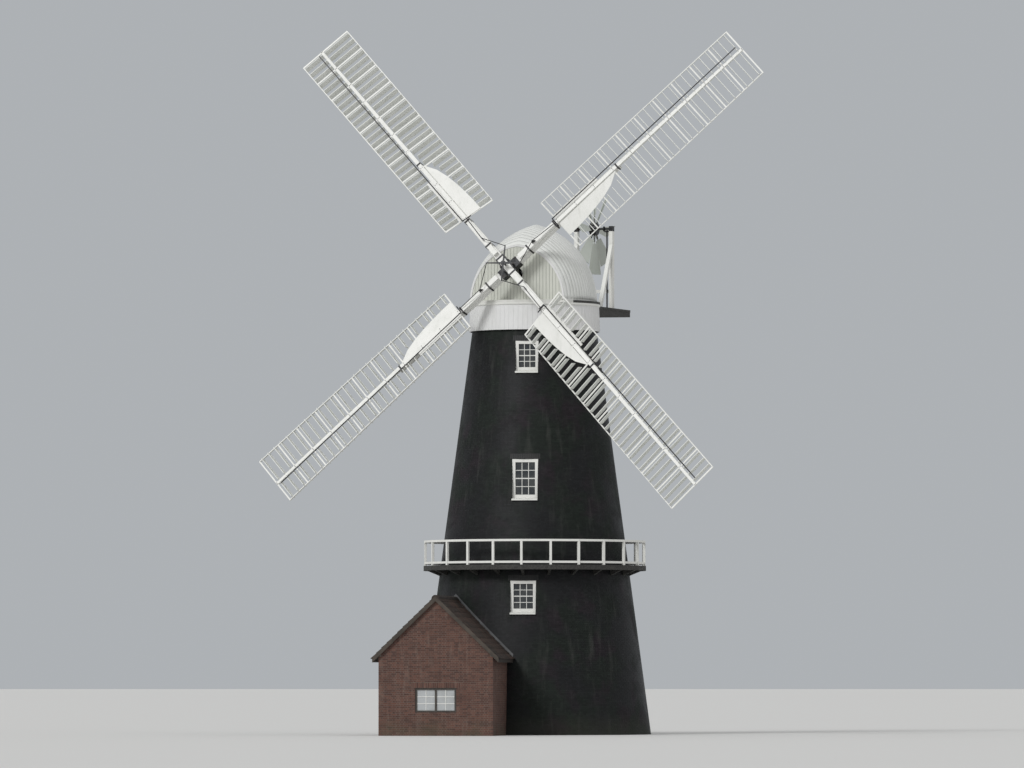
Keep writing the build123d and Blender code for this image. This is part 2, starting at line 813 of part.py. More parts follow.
with BuildPart() as whips:
    for number in range(4):
        with Locations(sail_location(number, stock_faces[number % 2])):
            add(whip.part)
save(whips, "whips")

# Iron straps round each stock and its whip
def stock_size(distance):
    share = max(0, (distance - canister_sleeve / 2) / (stock_half_length - canister_sleeve / 2))
    return [heel + (end - heel) * share for heel, end in zip((stock_width, stock_depth), stock_end)]


with BuildPart() as strap_set:
    for distance in strap_places:
        width, depth = stock_size(distance - strap_width / 2)
        front = whip_depth(distance - strap_width / 2)
        middle = (0, distance, (front - depth) / 2)
        with Locations(middle):
            Box(width + 2 * (seat_gap + strap_thickness), strap_width,
                front + depth + 2 * (seat_gap + strap_thickness))
            Box(width + 2 * seat_gap, 2 * strap_width, front + depth + 2 * seat_gap, mode=Mode.SUBTRACT)

with BuildPart() as sail_straps:
    for number in range(4):
        with Locations(sail_location(number, stock_faces[number % 2])):
            add(strap_set.part)
save(sail_straps, "sail_straps")

# Striking gear: a spider on the rod through the windshaft pulls a crank on each whip,
# and the crank's link moves two bars that lie along the open shutters' front edges.
shutter_reach = (shutter_width / 2 * sin(radians(shutter_open))
                 + shutter_thickness / 2 * cos(radians(shutter_open)))
bar_lift = shutter_reach + seat_gap + shutter_bar[1] / 2
crank_eye = whip_depth(crank_place) + crank_height


def striking_rod(start, finish):
    """A round link between two points of a sail's frame."""
    start, finish = Vector(*start), Vector(*finish)
    with BuildPart() as rod:
        with BuildSketch(Plane(origin=start, z_dir=finish - start)):
            Circle(link_radius)
        extrude(amount=(finish - start).length)
    return rod.part


with BuildPart() as striking_set:
    for side in (-1, 1):
        for distance in [yoke_place, *bar_places[1:-1], shutter_bar_end]:
            place = cloth_location(distance) * Location((side * shutter_bar_side, 0, bar_lift), (90, 0, 0))
            with BuildSketch(Plane(place)):
                Rectangle(*shutter_bar)
        loft(ruled=True)
    with Locations(cloth_location(yoke_place) * Location((0, 0, bar_lift))):
        Box(2 * shutter_bar_side + shutter_bar[0], shutter_bar[0], shutter_bar[1])
    with BuildSketch(Plane.YZ.offset(-crank_thickness / 2)):
        with BuildLine():
            foot = whip_depth(crank_place - crank_height / 2) + seat_gap
            Polyline((crank_place - crank_height / 2, foot), (crank_place + crank_height / 2, foot),
                     (crank_place + link_radius * 2, crank_eye + link_radius * 2),
                     (crank_place - link_radius * 2, crank_eye + link_radius * 2), close=True)
        make_face()
    extrude(amount=crank_thickness)
    yoke_middle = (cloth_location(yoke_place) * Location((0, 0, bar_lift))).position
    add(striking_rod((0, crank_place, crank_eye), tuple(yoke_middle)))

spider_along = stock_faces[0] + spider_lift
with BuildPart() as striking_gear:
    with BuildSketch(shaft_plane(stock_faces[0] + seat_gap)):
        Circle(striking_rod_radius)
    extrude(amount=spider_lift + spider_thickness)
    with BuildSketch(shaft_plane(spider_along - spider_thickness / 2)):
        Circle(spider_hub)
    extrude(amount=spider_thickness)
    for number in range(4):
        arm = sail_location(number, spider_along) * Location((0, 0, 0), (0, 0, -45))
        with BuildSketch(Plane(arm).offset(-spider_thickness / 4)):
            with BuildLine():
                Polyline((-spider_arm[0] / 2, 0), (spider_arm[0] / 2, 0), (spider_arm[1] / 2, spider_reach),
                         (-spider_arm[1] / 2, spider_reach), close=True)
            make_face()
        extrude(amount=spider_thickness / 2)
        tip = (spider_reach - link_radius * 2) / sqrt(2)
        link = striking_rod((tip, tip, spider_along - stock_faces[number % 2]), (0, crank_place, crank_eye))
        with Locations(sail_location(number, stock_faces[number % 2])):
            add(striking_set.part)
            add(link)
save(striking_gear, "striking_gear")

# Fantail: eight blades on a hub, between two braced posts on the stage behind the cap
fan_axis = Plane(origin=(0, fan_place, fan_height), x_dir=(0, 1, 0), z_dir=(1, 0, 0))


def bevel_wheel(plane):
    """A toothed bevel whose wide end lies on the plane, with its teeth round the edge."""
    with BuildPart() as wheel:
        with BuildSketch(plane):
            Circle(bevel_radius)
        extrude(amount=bevel_width, taper=45)
        with BuildSketch(plane.offset(-bevel_width / 2)):
            Circle(bevel_radius)
            with PolarLocations(bevel_radius, bevel_teeth):
                Rectangle(bevel_width / 3, bevel_radius / bevel_teeth * 2)
        extrude(amount=bevel_width / 2)
    return wheel.part


fan_plane = on_cap(fan_axis)
with BuildPart() as fan_hub:
    with BuildSketch(fan_plane.offset(-fan_post_spacing / 2 - fan_post[0] / 2)):
        Circle(fan_spindle_radius)
    extrude(amount=fan_post_spacing + fan_post[0])
    with BuildSketch(fan_plane.offset(-fan_hub_length / 2)):
        Circle(fan_hub_radius)
    extrude(amount=fan_hub_length)
    for face in (fan_arm / 4 + seat_gap, -fan_arm / 4 - seat_gap - fan_star_plate):
        with BuildSketch(fan_plane.offset(face)):
            with PolarLocations(fan_star_radius / 2, fan_blades):
                Rectangle(fan_star_radius, fan_arm)
        extrude(amount=fan_star_plate)
    add(bevel_wheel(fan_plane.offset(drive_offset - bevel_radius - bevel_clearance)))
save(fan_hub, "fan_hub")

drive_top = fan_height - bevel_radius - bevel_clearance
with BuildPart() as fan_drive:
    down_shaft = on_cap(Plane(origin=(drive_offset, fan_place, cap_base + seat_gap), x_dir=(1, 0, 0),
                              z_dir=(0, 0, 1)))
    with BuildSketch(down_shaft):
        Circle(drive_radius)
    extrude(amount=drive_top - cap_base - seat_gap)
    add(bevel_wheel(down_shaft.offset(drive_top - cap_base - seat_gap)))
save(fan_drive, "fan_drive")

with BuildPart() as fan_sails:
    for number in range(fan_blades):
        arm_frame = fan_plane.location * Location((0, 0, 0), (0, 0, 360 / fan_blades * number))
        with Locations(arm_frame * Location(((fan_hub_radius + fan_radius) / 2 + seat_gap, 0, 0))):
            Box(fan_radius - fan_hub_radius, fan_arm, fan_arm / 2)
        with BuildSketch(Plane(arm_frame * Location((0, 0, fan_arm / 4), (blade_pitch, 0, 0)))):
            with BuildLine():
                Polyline((blade_start, -blade_root / 2), (fan_radius, -blade_tip / 2),
                         (fan_radius, blade_tip / 2), (blade_start, blade_root / 2), close=True)
            make_face()
        extrude(amount=blade_thickness)
save(fan_sails, "fan_blades")

fan_post_top = fan_height - fan_bearing_height / 2
with BuildPart() as fan_frame:
    for side in (-1, 1):
        offset = side * fan_post_spacing / 2
        with BuildSketch(cap_side(offset - fan_post[0] / 2)):
            with Locations((fan_place, (cap_base + fan_post_top) / 2)):
                Rectangle(fan_post[1], fan_post_top - cap_base)
            with BuildLine():
                Polyline((fan_strut_foot, cap_base), (fan_strut_foot + fan_strut_base, cap_base),
                         (fan_place, fan_strut_head - fan_strut), (fan_place, fan_strut_head),
                         (fan_place - fan_post[1] / 2, fan_strut_head), close=True)
            make_face()
        extrude(amount=fan_post[0])
    with BuildSketch(cap_side((fan_post[0] - fan_post_spacing) / 2)):
        with Locations((fan_place + (fan_post[1] - fan_rail_width) / 2, cap_base + fan_rail_rise)):
            Rectangle(fan_rail_width, fan_rail_depth)
    extrude(amount=fan_post_spacing - fan_post[0])
save(fan_frame, "fan_frame")

with BuildPart() as fan_bearings:
    for side in (-1, 1):
        with BuildSketch(cap_side(side * fan_post_spacing / 2 - fan_post[0] / 2)):
            with Locations((fan_place, fan_height)):
                Rectangle(fan_post[1], fan_bearing_height)
                Circle(fan_spindle_radius + running_gap, mode=Mode.SUBTRACT)
        extrude(amount=fan_post[0])
save(fan_bearings, "fan_bearings")


# Annexe: a gabled brick room that runs back to the tower
def gable(left, right):
    """The outline under the roof, between two distances from the ridge's middle."""
    under = annexe_ridge_height - annexe_roof_drop
    slope = tan(radians(annexe_pitch))
    points = [(left, 0), (right, 0), (right, under - abs(right) * slope)]
    if left < 0 < right:
        points.append((0, under))
    points.append((left, under - abs(left) * slope))
    with BuildSketch(Plane.XY) as outline:
        with BuildLine():
            Polyline(*points, close=True)
        make_face()
    return outline.sketch


half_annexe = annexe_width / 2
annexe_length = annexe_back - annexe_front


def annexe_plane(distance):
    """An upright plane across the annexe, x to the right and y up, seen from the front."""
    return Plane(origin=(annexe_middle, distance, 0), x_dir=(1, 0, 0), z_dir=(0, -1, 0))


with BuildPart() as annexe_front_wall:
    with BuildSketch(annexe_plane(annexe_front + annexe_wall)):
        add(gable(-half_annexe, half_annexe))
        with Locations((0, annexe_window_sill + annexe_window[1] / 2)):
            Rectangle(*annexe_window, mode=Mode.SUBTRACT)
    extrude(amount=annexe_wall)
save(annexe_front_wall, "annexe_front_wall")

with BuildPart() as annexe_right_wall:
    with BuildSketch(annexe_plane(annexe_back)):
        add(gable(half_annexe - annexe_wall, half_annexe))
    extrude(amount=annexe_length - annexe_wall)
    add(tower_outside.part, mode=Mode.SUBTRACT)
save(annexe_right_wall, "annexe_right_wall")

with BuildPart() as annexe_left_wall:
    with BuildSketch(annexe_plane(annexe_back)):
        add(gable(-half_annexe, -half_annexe + annexe_wall))
    extrude(amount=annexe_length - annexe_wall)
    with Locations((annexe_left, (annexe_front + annexe_back) / 2, annexe_slab + annexe_door[1] / 2)):
        Box(3 * annexe_wall, annexe_door[0], annexe_door[1], mode=Mode.SUBTRACT)
save(annexe_left_wall, "annexe_left_wall")

with BuildPart() as annexe_back_wall:
    with BuildSketch(annexe_plane(annexe_back)):
        add(gable(-half_annexe + annexe_wall, half_annexe / 4))
    extrude(amount=annexe_wall)
    add(tower_outside.part, mode=Mode.SUBTRACT)
save(annexe_back_wall, "annexe_back_wall")

for side, name in ((-1, "annexe_roof_left"), (1, "annexe_roof_right")):
    with BuildPart() as slope_part:
        with BuildSketch(annexe_plane(annexe_back + annexe_verge)):
            with BuildLine():
                Polyline((0, annexe_ridge_height), (side * ridge_half_span, annexe_eaves),
                         (side * ridge_half_span, annexe_eaves - annexe_roof_drop),
                         (0, annexe_ridge_height - annexe_roof_drop), close=True)
            make_face()
        extrude(amount=annexe_length + 2 * annexe_verge)
        add(tower_outside.part, mode=Mode.SUBTRACT)
    save(slope_part, name)

with BuildPart() as annexe_ridge:
    with BuildSketch(annexe_plane(annexe_back + annexe_verge)):
        with Locations((0, annexe_ridge_height - ridge_radius / 2)):
            Circle(ridge_radius)
        with BuildLine():
            Polyline((0, annexe_ridge_height), (ridge_half_span, annexe_eaves),
                     (-ridge_half_span, annexe_eaves), close=True)
        make_face(mode=Mode.SUBTRACT)
    extrude(amount=annexe_length + 2 * annexe_verge)
    add(tower_outside.part, mode=Mode.SUBTRACT)
save(annexe_ridge, "annexe_ridge")

with BuildPart() as annexe_floor:
    with BuildSketch(Plane.XY):
        with Locations((annexe_middle, (annexe_front + annexe_back) / 2)):
            Rectangle(annexe_width - 2 * annexe_wall, annexe_length - 2 * annexe_wall)
    extrude(amount=annexe_slab)
    add(tower_outside.part, mode=Mode.SUBTRACT)
save(annexe_floor, "annexe_floor")

with BuildPart() as annexe_window_frame:
    with BuildSketch(annexe_plane(annexe_front + annexe_wall / 2)):
        with Locations((0, annexe_window_sill + annexe_window[1] / 2)):
            Rectangle(*annexe_window)
            with GridLocations(annexe_window[0] / 2 - annexe_frame_face / 2, 0, 2, 1):
                Rectangle(annexe_window[0] / 2 - 1.5 * annexe_frame_face,
                          annexe_window[1] - 2 * annexe_frame_face, mode=Mode.SUBTRACT)
    extrude(amount=annexe_wall / 3)
save(annexe_window_frame, "annexe_window_frame")

with BuildPart() as annexe_glass:
    with BuildSketch(annexe_plane(annexe_front + annexe_wall / 2 - annexe_wall / 8)):
        with Locations((0, annexe_window_sill + annexe_window[1] / 2)):
            with GridLocations(annexe_window[0] / 2 - annexe_frame_face / 2, 0, 2, 1):
                Rectangle(annexe_window[0] / 2 - 1.5 * annexe_frame_face,
                          annexe_window[1] - 2 * annexe_frame_face)
    extrude(amount=glass_thickness)
save(annexe_glass, "annexe_glass")
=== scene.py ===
import random
from math import acos, atan, atan2, ceil, cos, floor, hypot, pi, radians, sin, sqrt, tan

import bmesh
import bpy
from mathutils import Matrix, Vector
from mathutils.bvhtree import BVHTree
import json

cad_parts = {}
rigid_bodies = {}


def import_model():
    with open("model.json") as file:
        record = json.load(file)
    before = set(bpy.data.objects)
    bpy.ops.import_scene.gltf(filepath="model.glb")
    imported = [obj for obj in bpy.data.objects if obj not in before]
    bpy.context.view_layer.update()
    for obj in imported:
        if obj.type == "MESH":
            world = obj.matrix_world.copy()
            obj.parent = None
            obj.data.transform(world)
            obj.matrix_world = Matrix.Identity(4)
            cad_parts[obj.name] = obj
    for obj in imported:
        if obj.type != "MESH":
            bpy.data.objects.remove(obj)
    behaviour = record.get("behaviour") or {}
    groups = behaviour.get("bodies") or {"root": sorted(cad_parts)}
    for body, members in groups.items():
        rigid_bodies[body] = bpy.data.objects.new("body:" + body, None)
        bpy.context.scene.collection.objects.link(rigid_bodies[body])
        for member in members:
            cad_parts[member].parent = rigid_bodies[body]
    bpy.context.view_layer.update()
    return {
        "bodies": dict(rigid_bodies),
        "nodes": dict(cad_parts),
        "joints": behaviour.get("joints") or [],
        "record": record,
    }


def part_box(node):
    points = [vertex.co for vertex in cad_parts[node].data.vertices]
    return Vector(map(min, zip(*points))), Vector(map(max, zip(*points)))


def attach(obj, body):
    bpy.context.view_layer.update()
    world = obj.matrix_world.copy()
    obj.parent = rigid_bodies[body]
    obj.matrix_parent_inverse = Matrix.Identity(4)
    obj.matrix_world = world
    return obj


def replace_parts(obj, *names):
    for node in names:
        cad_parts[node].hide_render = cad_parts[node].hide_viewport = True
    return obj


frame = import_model()
joints = {joint["name"]: joint for joint in frame["joints"]}
print("the packed mill is loaded")

# Sizes that more than one piece goes by, in metres. Openings are (sill height, width, height)
mill = dict(height=17.0, footRadius=4.88, topRadius=2.6, footWall=0.6, topWall=0.45, galleryLevel=7.05,
            galleryRadius=4.7, galleryBays=24, capYaw=radians(-14.6), archBearing=0.11,
            windows=[(4.99, 1.07, 1.40), (9.73, 1.08, 1.72), (15.06, 0.96, 1.34)],
            doors=[(0.15, 1.1, 2.15), (7.05, 0.9, 1.9)], doorRecess=(0.16, 0.08))
annexe = dict(middle=-2.97, front=-9.2, back=-2.85, width=4.7, wall=0.23, eaves=3.15, halfSpan=2.6,
              pitch=radians(44), roof=0.11, verge=0.12, archBearing=0.15, window=(0.95, 1.7, 1.0),
              door=(0.10, 0.95, 2.05), doorRecess=0.11)
sail = dict(turn=-44, heel=2.82, tip=13.29, bays=10, trailing=1.4, leading=1.05, hemlath=0.0353,
            twist=(18, 6), whipStart=0.62, whipHeel=(0.21, 0.19), whipTip=(0.11, 0.09), reach=13.32,
            stockHalf=6.3, stockWidth=0.3, stockDepth=0.3, stockSpacing=0.4)
brick = dict(stretcher=0.215, header=0.1025, height=0.065, depth=0.1025, joint=0.010, proud=0.004,
             least=0.02, bandHeight=1.5)        # Flemish bond, in step round the tower for one band's height
drawnBrick = dict(length=0.225, course=0.075, joint=0.008)

taper = (mill["footRadius"] - mill["topRadius"]) / mill["height"]
towerWindows = [(turn, *window) for turn in (0, pi) for window in mill["windows"]]      # front, then back
towerOpenings = towerWindows + [(pi, *door) for door in mill["doors"]]
slope, slopeFall = cos(annexe["pitch"]), tan(annexe["pitch"])
annexeRidge = annexe["eaves"] + annexe["halfSpan"] * slopeFall
doorAlong = (annexe["front"] + annexe["back"]) / 2        # the annexe's door is halfway along its left side


def at(x, y, z):
    return Matrix.Translation((x, y, z))


def turned(angle, axis="Z"):
    return Matrix.Rotation(angle, 4, axis)


def wallRadius(height):
    return mill["footRadius"] + (mill["topRadius"] - mill["footRadius"]) * height / mill["height"]


def capPlace(x, y, z):        # a place in the turned cap: to its right, behind the tower's axis, up
    return turned(mill["capYaw"]) @ at(x, y, z)


def sailPlace(number):        # x to the sail's trailing side, y outwards, z forward from its stock's face
    hinge = joints["sail_turn"]
    forward = Vector(hinge["axis"])
    across = Vector((0, 0, 1)).cross(forward).normalized()
    face = sail["stockDepth"] / 2 + sail["stockSpacing"] / 2 * (1 if number % 2 == 0 else -1)
    place = Matrix((across, forward.cross(across), forward)).transposed().to_4x4()
    place.translation = Vector(hinge["pos_m"]) + forward * face
    return place @ turned(radians(-(sail["turn"] + 90 * number)))


def whipSize(distance):
    share = (distance - sail["whipStart"]) / (sail["reach"] - sail["whipStart"])
    return [heel + (tip - heel) * share for heel, tip in zip(sail["whipHeel"], sail["whipTip"])]


def weatherAngle(distance):
    share = (distance - sail["heel"]) / (sail["reach"] - sail["heel"])
    return radians(sail["twist"][0] + (sail["twist"][1] - sail["twist"][0]) * share)


def clothPlace(distance):     # on the sail's twisted surface, x along a bar
    return at(0, distance, whipSize(distance)[1] / 2) @ turned(weatherAngle(distance), "Y")


# Wiring of shader nodes

class wires:       # lays nodes and links in one tree
    def __init__(self, tree):
        self.tree = tree

    def feed(self, socket, value):
        if isinstance(value, bpy.types.NodeSocket):
            self.tree.links.new(value, socket)
        elif value is not None:
            socket.default_value = value

    def node(self, kind, inputs=(), **settings):        # inputs go by the socket's name or number
        made = self.tree.nodes.new("ShaderNode" + kind)
        for name, value in settings.items():
            setattr(made, name, value)
        for name, value in dict(inputs).items():
            self.feed(made.inputs[name], value)
        return made

    def calc(self, operation, *values, clamp=False):
        return self.node("Math", enumerate(values), operation=operation, use_clamp=clamp).outputs[0]

    def times(self, first, *others):
        for other in others:
            first = self.calc("MULTIPLY", first, other)
        return first

    def plus(self, first, second):
        return self.calc("ADD", first, second)

    def minus(self, first, second):
        return self.calc("SUBTRACT", first, second)

    def vector(self, operation, first, second):
        return self.node("VectorMath", {0: first, 1: second}, operation=operation).outputs[0]

    def noise(self, vector, scale, detail=3.0, rough=0.55):
        inputs = {"Vector": vector, "Scale": scale, "Detail": detail, "Roughness": rough}
        return self.node("TexNoise", inputs).outputs["Fac"]

    def span(self, value, low, high, first=0.0, last=1.0):
        inputs = {"Value": value, "From Min": low, "From Max": high, "To Min": first, "To Max": last}
        return self.node("MapRange", inputs, interpolation_type="SMOOTHSTEP").outputs[0]

    def blend(self, share, first, second):
        colours = [colour if isinstance(colour, bpy.types.NodeSocket) else (*colour, 1.0)
                   for colour in (first, second)]
        return self.node("Mix", {0: share, 6: colours[0], 7: colours[1]}, data_type="RGBA").outputs[2]

    def join(self, x, y, z):
        return self.node("CombineXYZ", {0: x, 1: y, 2: z}).outputs[0]

    def split(self, vector):
        return self.node("SeparateXYZ", {0: vector}).outputs

    def relief(self, height, depth, strength=1.0, under=None):
        inputs = {"Distance": depth, "Strength": strength, "Height": height, "Normal": under}
        return self.node("Bump", inputs).outputs[0]

    def place(self, group, **values):
        return self.node("Group", values, node_tree=group).outputs

    def here(self):
        return self.node("TexCoord").outputs["Object"]

    def ownTone(self):        # the value that each brick or tile carries
        return self.node("Attribute", attribute_name="tone").outputs["Fac"]

    def dress(self, colour, rough, normal=None):
        for name, value in (("Base Color", colour), ("Roughness", rough), ("Normal", normal)):
            self.feed(self.shader[name], value)
        return self.material


def newGroup(name, inputs, outputs):
    group = bpy.data.node_groups.new(name, "ShaderNodeTree")
    for label, kind, value in inputs:
        socket = group.interface.new_socket(label, in_out="INPUT", socket_type="NodeSocket" + kind)
        socket.default_value = value
    for label in outputs:
        group.interface.new_socket(label, in_out="OUTPUT", socket_type="NodeSocketFloat")
    enter = group.nodes.new("NodeGroupInput")
    leave = group.nodes.new("NodeGroupOutput")
    return group, wires(group), enter.outputs, leave.inputs


# Weather: large patches, runs of rain down the face, and fine specks
weather, w, enter, leave = newGroup("weather", [("Size", "Float", 1.0), ("Length", "Float", 6.0)],
                                    ["Patches", "Runs", "Specks"])
scale = w.calc("DIVIDE", 1.0, enter["Size"])
sized = w.node("VectorMath", {0: w.here(), "Scale": scale}, operation="SCALE").outputs[0]
w.feed(leave["Patches"], w.span(w.noise(sized, 0.9, 5.0, 0.6), 0.36, 0.66))
drawnOut = w.vector("MULTIPLY", sized, w.join(7.0, 7.0, w.calc("DIVIDE", 7.0, enter["Length"])))
w.feed(leave["Runs"], w.span(w.noise(drawnOut, 0.8, 4.0, 0.6), 0.5, 0.72))
w.feed(leave["Specks"], w.noise(sized, 38.0, 4.0, 0.65))

# Boards laid side by side: the groove between two, and a tone for each
boarding, w, enter, leave = newGroup("boarding", [("Across", "Float", 0.0), ("Board", "Float", 0.15),
                                                  ("Gap", "Float", 0.006)], ["Groove", "Tone"])
count = w.calc("DIVIDE", enter["Across"], enter["Board"])
part = w.calc("FRACT", count)
edge = w.times(w.calc("MINIMUM", part, w.minus(1.0, part)), enter["Board"])
w.feed(leave["Groove"], w.span(edge, 0.0, enter["Gap"], 1.0, 0.0))
boardTone = w.node("TexWhiteNoise", {"W": w.calc("FLOOR", count)}, noise_dimensions="1D")
w.feed(leave["Tone"], boardTone.outputs["Value"])

# Bricks drawn on a surface: a tone for each, and 1 in the joints
brickwork, w, enter, leave = newGroup("brickwork", [("Across", "Float", 0.0), ("Up", "Float", 0.0)],
                                      ["Tone", "Joint"])
bond = w.node("TexBrick", {"Vector": w.join(enter["Across"], enter["Up"], 0.0), "Scale": 1.0,
                           "Brick Width": drawnBrick["length"], "Row Height": drawnBrick["course"],
                           "Mortar Size": drawnBrick["joint"], "Mortar Smooth": 0.2, "Bias": 0.0,
                           "Color1": (0.0, 0.0, 0.0, 1.0), "Color2": (1.0, 1.0, 1.0, 1.0),
                           "Mortar": (0.5, 0.5, 0.5, 1.0)}, offset=0.5)
w.feed(leave["Tone"], w.split(bond.outputs["Color"])[0])
w.feed(leave["Joint"], bond.outputs["Fac"])

# Grain of timber, long in the direction whose scale is small
timberGrain, w, enter, leave = newGroup("timberGrain", [("Stretch", "Vector", (12.0, 12.0, 0.7))],
                                        ["Grain"])
drawnOut = w.vector("MULTIPLY", w.here(), enter["Stretch"])
w.feed(leave["Grain"], w.span(w.noise(drawnOut, 2.2, 6.0, 0.7), 0.3, 0.7))


def newFinish(name):
    made = bpy.data.materials.new(name)
    made.use_nodes = True
    w = wires(made.node_tree)
    w.material, w.shader = made, w.tree.nodes["Principled BSDF"].inputs
    return w


def makeTarredBrick(name):    # the walls draw their bricks, and the bricks that are built have a tone each
    look = dict(tar=(0.0115, 0.0120, 0.0130), green=(0.011, 0.015, 0.012), plum=(0.016, 0.0125, 0.0155),
                chalk=(0.085, 0.085, 0.080), joint=(0.006, 0.006, 0.007), moss=(0.05, 0.052, 0.035),
                limewash=(0.55, 0.53, 0.48), limewashDepth=0.03, sheen=0.2)
    w = newFinish(name)
    here = w.here()
    x, y, z = w.split(here)
    drawn = name == "tarredWall"
    if drawn:
        turn = w.calc("DIVIDE", w.calc("ARCTAN2", y, x), 2 * pi)
        band = w.plus(w.calc("SNAP", z, brick["bandHeight"]), brick["bandHeight"] / 2)
        ring = w.minus(mill["footRadius"], w.times(band, taper))
        bricks = w.calc("ROUND", w.times(ring, 2 * pi / drawnBrick["length"]))
        tone, joint = w.place(brickwork, Across=w.times(turn, bricks, drawnBrick["length"]), Up=z)
    else:
        tone = w.ownTone()
    spell = w.place(weather, Size=1.6, Length=9.0)
    colour = w.blend(w.span(w.noise(here, 0.55, 4.0), 0.42, 0.62), look["tar"], look["green"])
    elsewhere = w.vector("ADD", here, (9.0, 4.0, 2.0))
    colour = w.blend(w.span(w.noise(elsewhere, 0.8, 4.0), 0.5, 0.68), colour, look["plum"])
    lift = w.node("HueSaturation", {"Value": w.plus(w.times(tone, 0.45), 0.78), "Color": colour})
    chalky = w.times(spell["Runs"], spell["Patches"], 0.28)
    colour = w.blend(chalky, lift.outputs[0], look["chalk"])
    if drawn:
        colour = w.blend(w.times(joint, 0.35), colour, look["joint"])
    colour = w.blend(w.times(w.span(z, 0.1, 1.1, 0.5, 0.0), spell["Specks"]), colour, look["moss"])
    if drawn:
        face = w.minus(mill["footRadius"], w.times(z, taper))
        radius = w.calc("SQRT", w.plus(w.times(x, x), w.times(y, y)))
        thickness = w.span(z, 0.0, mill["height"], mill["footWall"] - look["limewashDepth"],
                           mill["topWall"] - look["limewashDepth"])
        inside = w.calc("GREATER_THAN", w.minus(face, radius), thickness)
        colour = w.blend(inside, colour, look["limewash"])
    rough = w.plus(w.span(spell["Patches"], 0.0, 1.0, 0.46, 0.66), w.times(chalky, 0.5))
    w.feed(w.shader["Specular IOR Level"], look["sheen"])
    uneven = w.relief(w.noise(here, 9.0, 5.0, 0.65), 0.012, 0.35)
    return w.dress(colour, rough, w.relief(w.minus(1.0, joint), 0.008, 1.0, uneven) if drawn else uneven)


# Brick that isn't tarred: built on the annexe, and drawn on the floors, where it has mortar too
bricks = {"redBrick": dict(light=(0.126, 0.057, 0.041), dark=(0.064, 0.030, 0.024)),
          "floorBrick": dict(light=(0.30, 0.19, 0.14), dark=(0.20, 0.12, 0.09), mortar=(0.18, 0.15, 0.12))}


def makeBrick(name):
    look = bricks[name]
    w = newFinish(name)
    here = w.here()
    x, y, z = w.split(here)
    tone = w.ownTone()
    if "mortar" in look:
        tone, joint = w.place(brickwork, Across=x, Up=y)
    spell = w.place(weather, Size=0.9)
    colour = w.blend(tone, look["light"], look["dark"])
    colour = w.blend(w.span(w.noise(here, 14.0, 4.0), 0.45, 0.75, 0.0, 0.5), colour, look["dark"])
    normal = w.relief(w.noise(here, 55.0, 4.0, 0.6), 0.004, 0.6)
    if "mortar" in look:
        colour = w.blend(w.times(joint, 0.75), colour, look["mortar"])
        normal = w.relief(w.minus(1.0, joint), 0.007, 0.9, normal)
    colour = w.blend(w.times(spell["Runs"], 0.16), colour, (0.30, 0.24, 0.20))
    damp = w.times(w.span(z, 0.0, 0.9, 0.7, 0.0), spell["Patches"])
    colour = w.blend(damp, colour, (0.07, 0.06, 0.035))
    return w.dress(colour, w.span(spell["Specks"], 0.3, 0.7, 0.78, 0.95), normal)


def makePantile():
    look = dict(dark=(0.034, 0.024, 0.020), light=(0.088, 0.050, 0.037), soot=(0.028, 0.025, 0.021),
                lichen=(0.12, 0.115, 0.075))
    w = newFinish("pantile")
    spell = w.place(weather, Size=0.7)
    colour = w.blend(w.ownTone(), look["dark"], look["light"])
    colour = w.blend(w.times(spell["Patches"], 0.55), colour, look["soot"])
    lichen = w.span(w.noise(w.here(), 6.0, 6.0, 0.7), 0.60, 0.68)
    colour = w.blend(w.times(lichen, 0.5), colour, look["lichen"])
    rough = w.span(spell["Specks"], 0.3, 0.7, 0.68, 0.92)
    return w.dress(colour, rough, w.relief(spell["Specks"], 0.004, 0.7))


# White paint: clean on the joinery, boarded on the cap and weathered on the sails
whites = {
    "whiteJoinery": dict(paint=(0.74, 0.74, 0.71), grime=0.14, flakes=0.10, rough=0.42),
    "roofBoards": dict(paint=(0.76, 0.77, 0.75), grime=0.14, flakes=0.08, rough=0.5, board=0.2),
    "skirtBoards": dict(paint=(0.70, 0.70, 0.70), grime=0.12, flakes=0.10, rough=0.5),
    "breastBoards": dict(paint=(0.60, 0.61, 0.55), grime=0.20, flakes=0.10, rough=0.5, board=0.145),
    "whiteSail": dict(paint=(0.80, 0.80, 0.77), grime=0.16, flakes=0.20, rough=0.48),
    "whiteShutter": dict(paint=(0.76, 0.77, 0.74), grime=0.20, flakes=0.10, rough=0.6),
    "fanBlade": dict(paint=(0.47, 0.50, 0.46), grime=0.24, flakes=0.16, rough=0.55),
}


def capAxes(w, here):         # metres to the cap's right, and behind the tower's axis
    x, y, z = w.split(here)
    along, aside = cos(mill["capYaw"]), sin(mill["capYaw"])
    return w.plus(w.times(x, along), w.times(y, aside)), w.minus(w.times(y, along), w.times(x, aside))


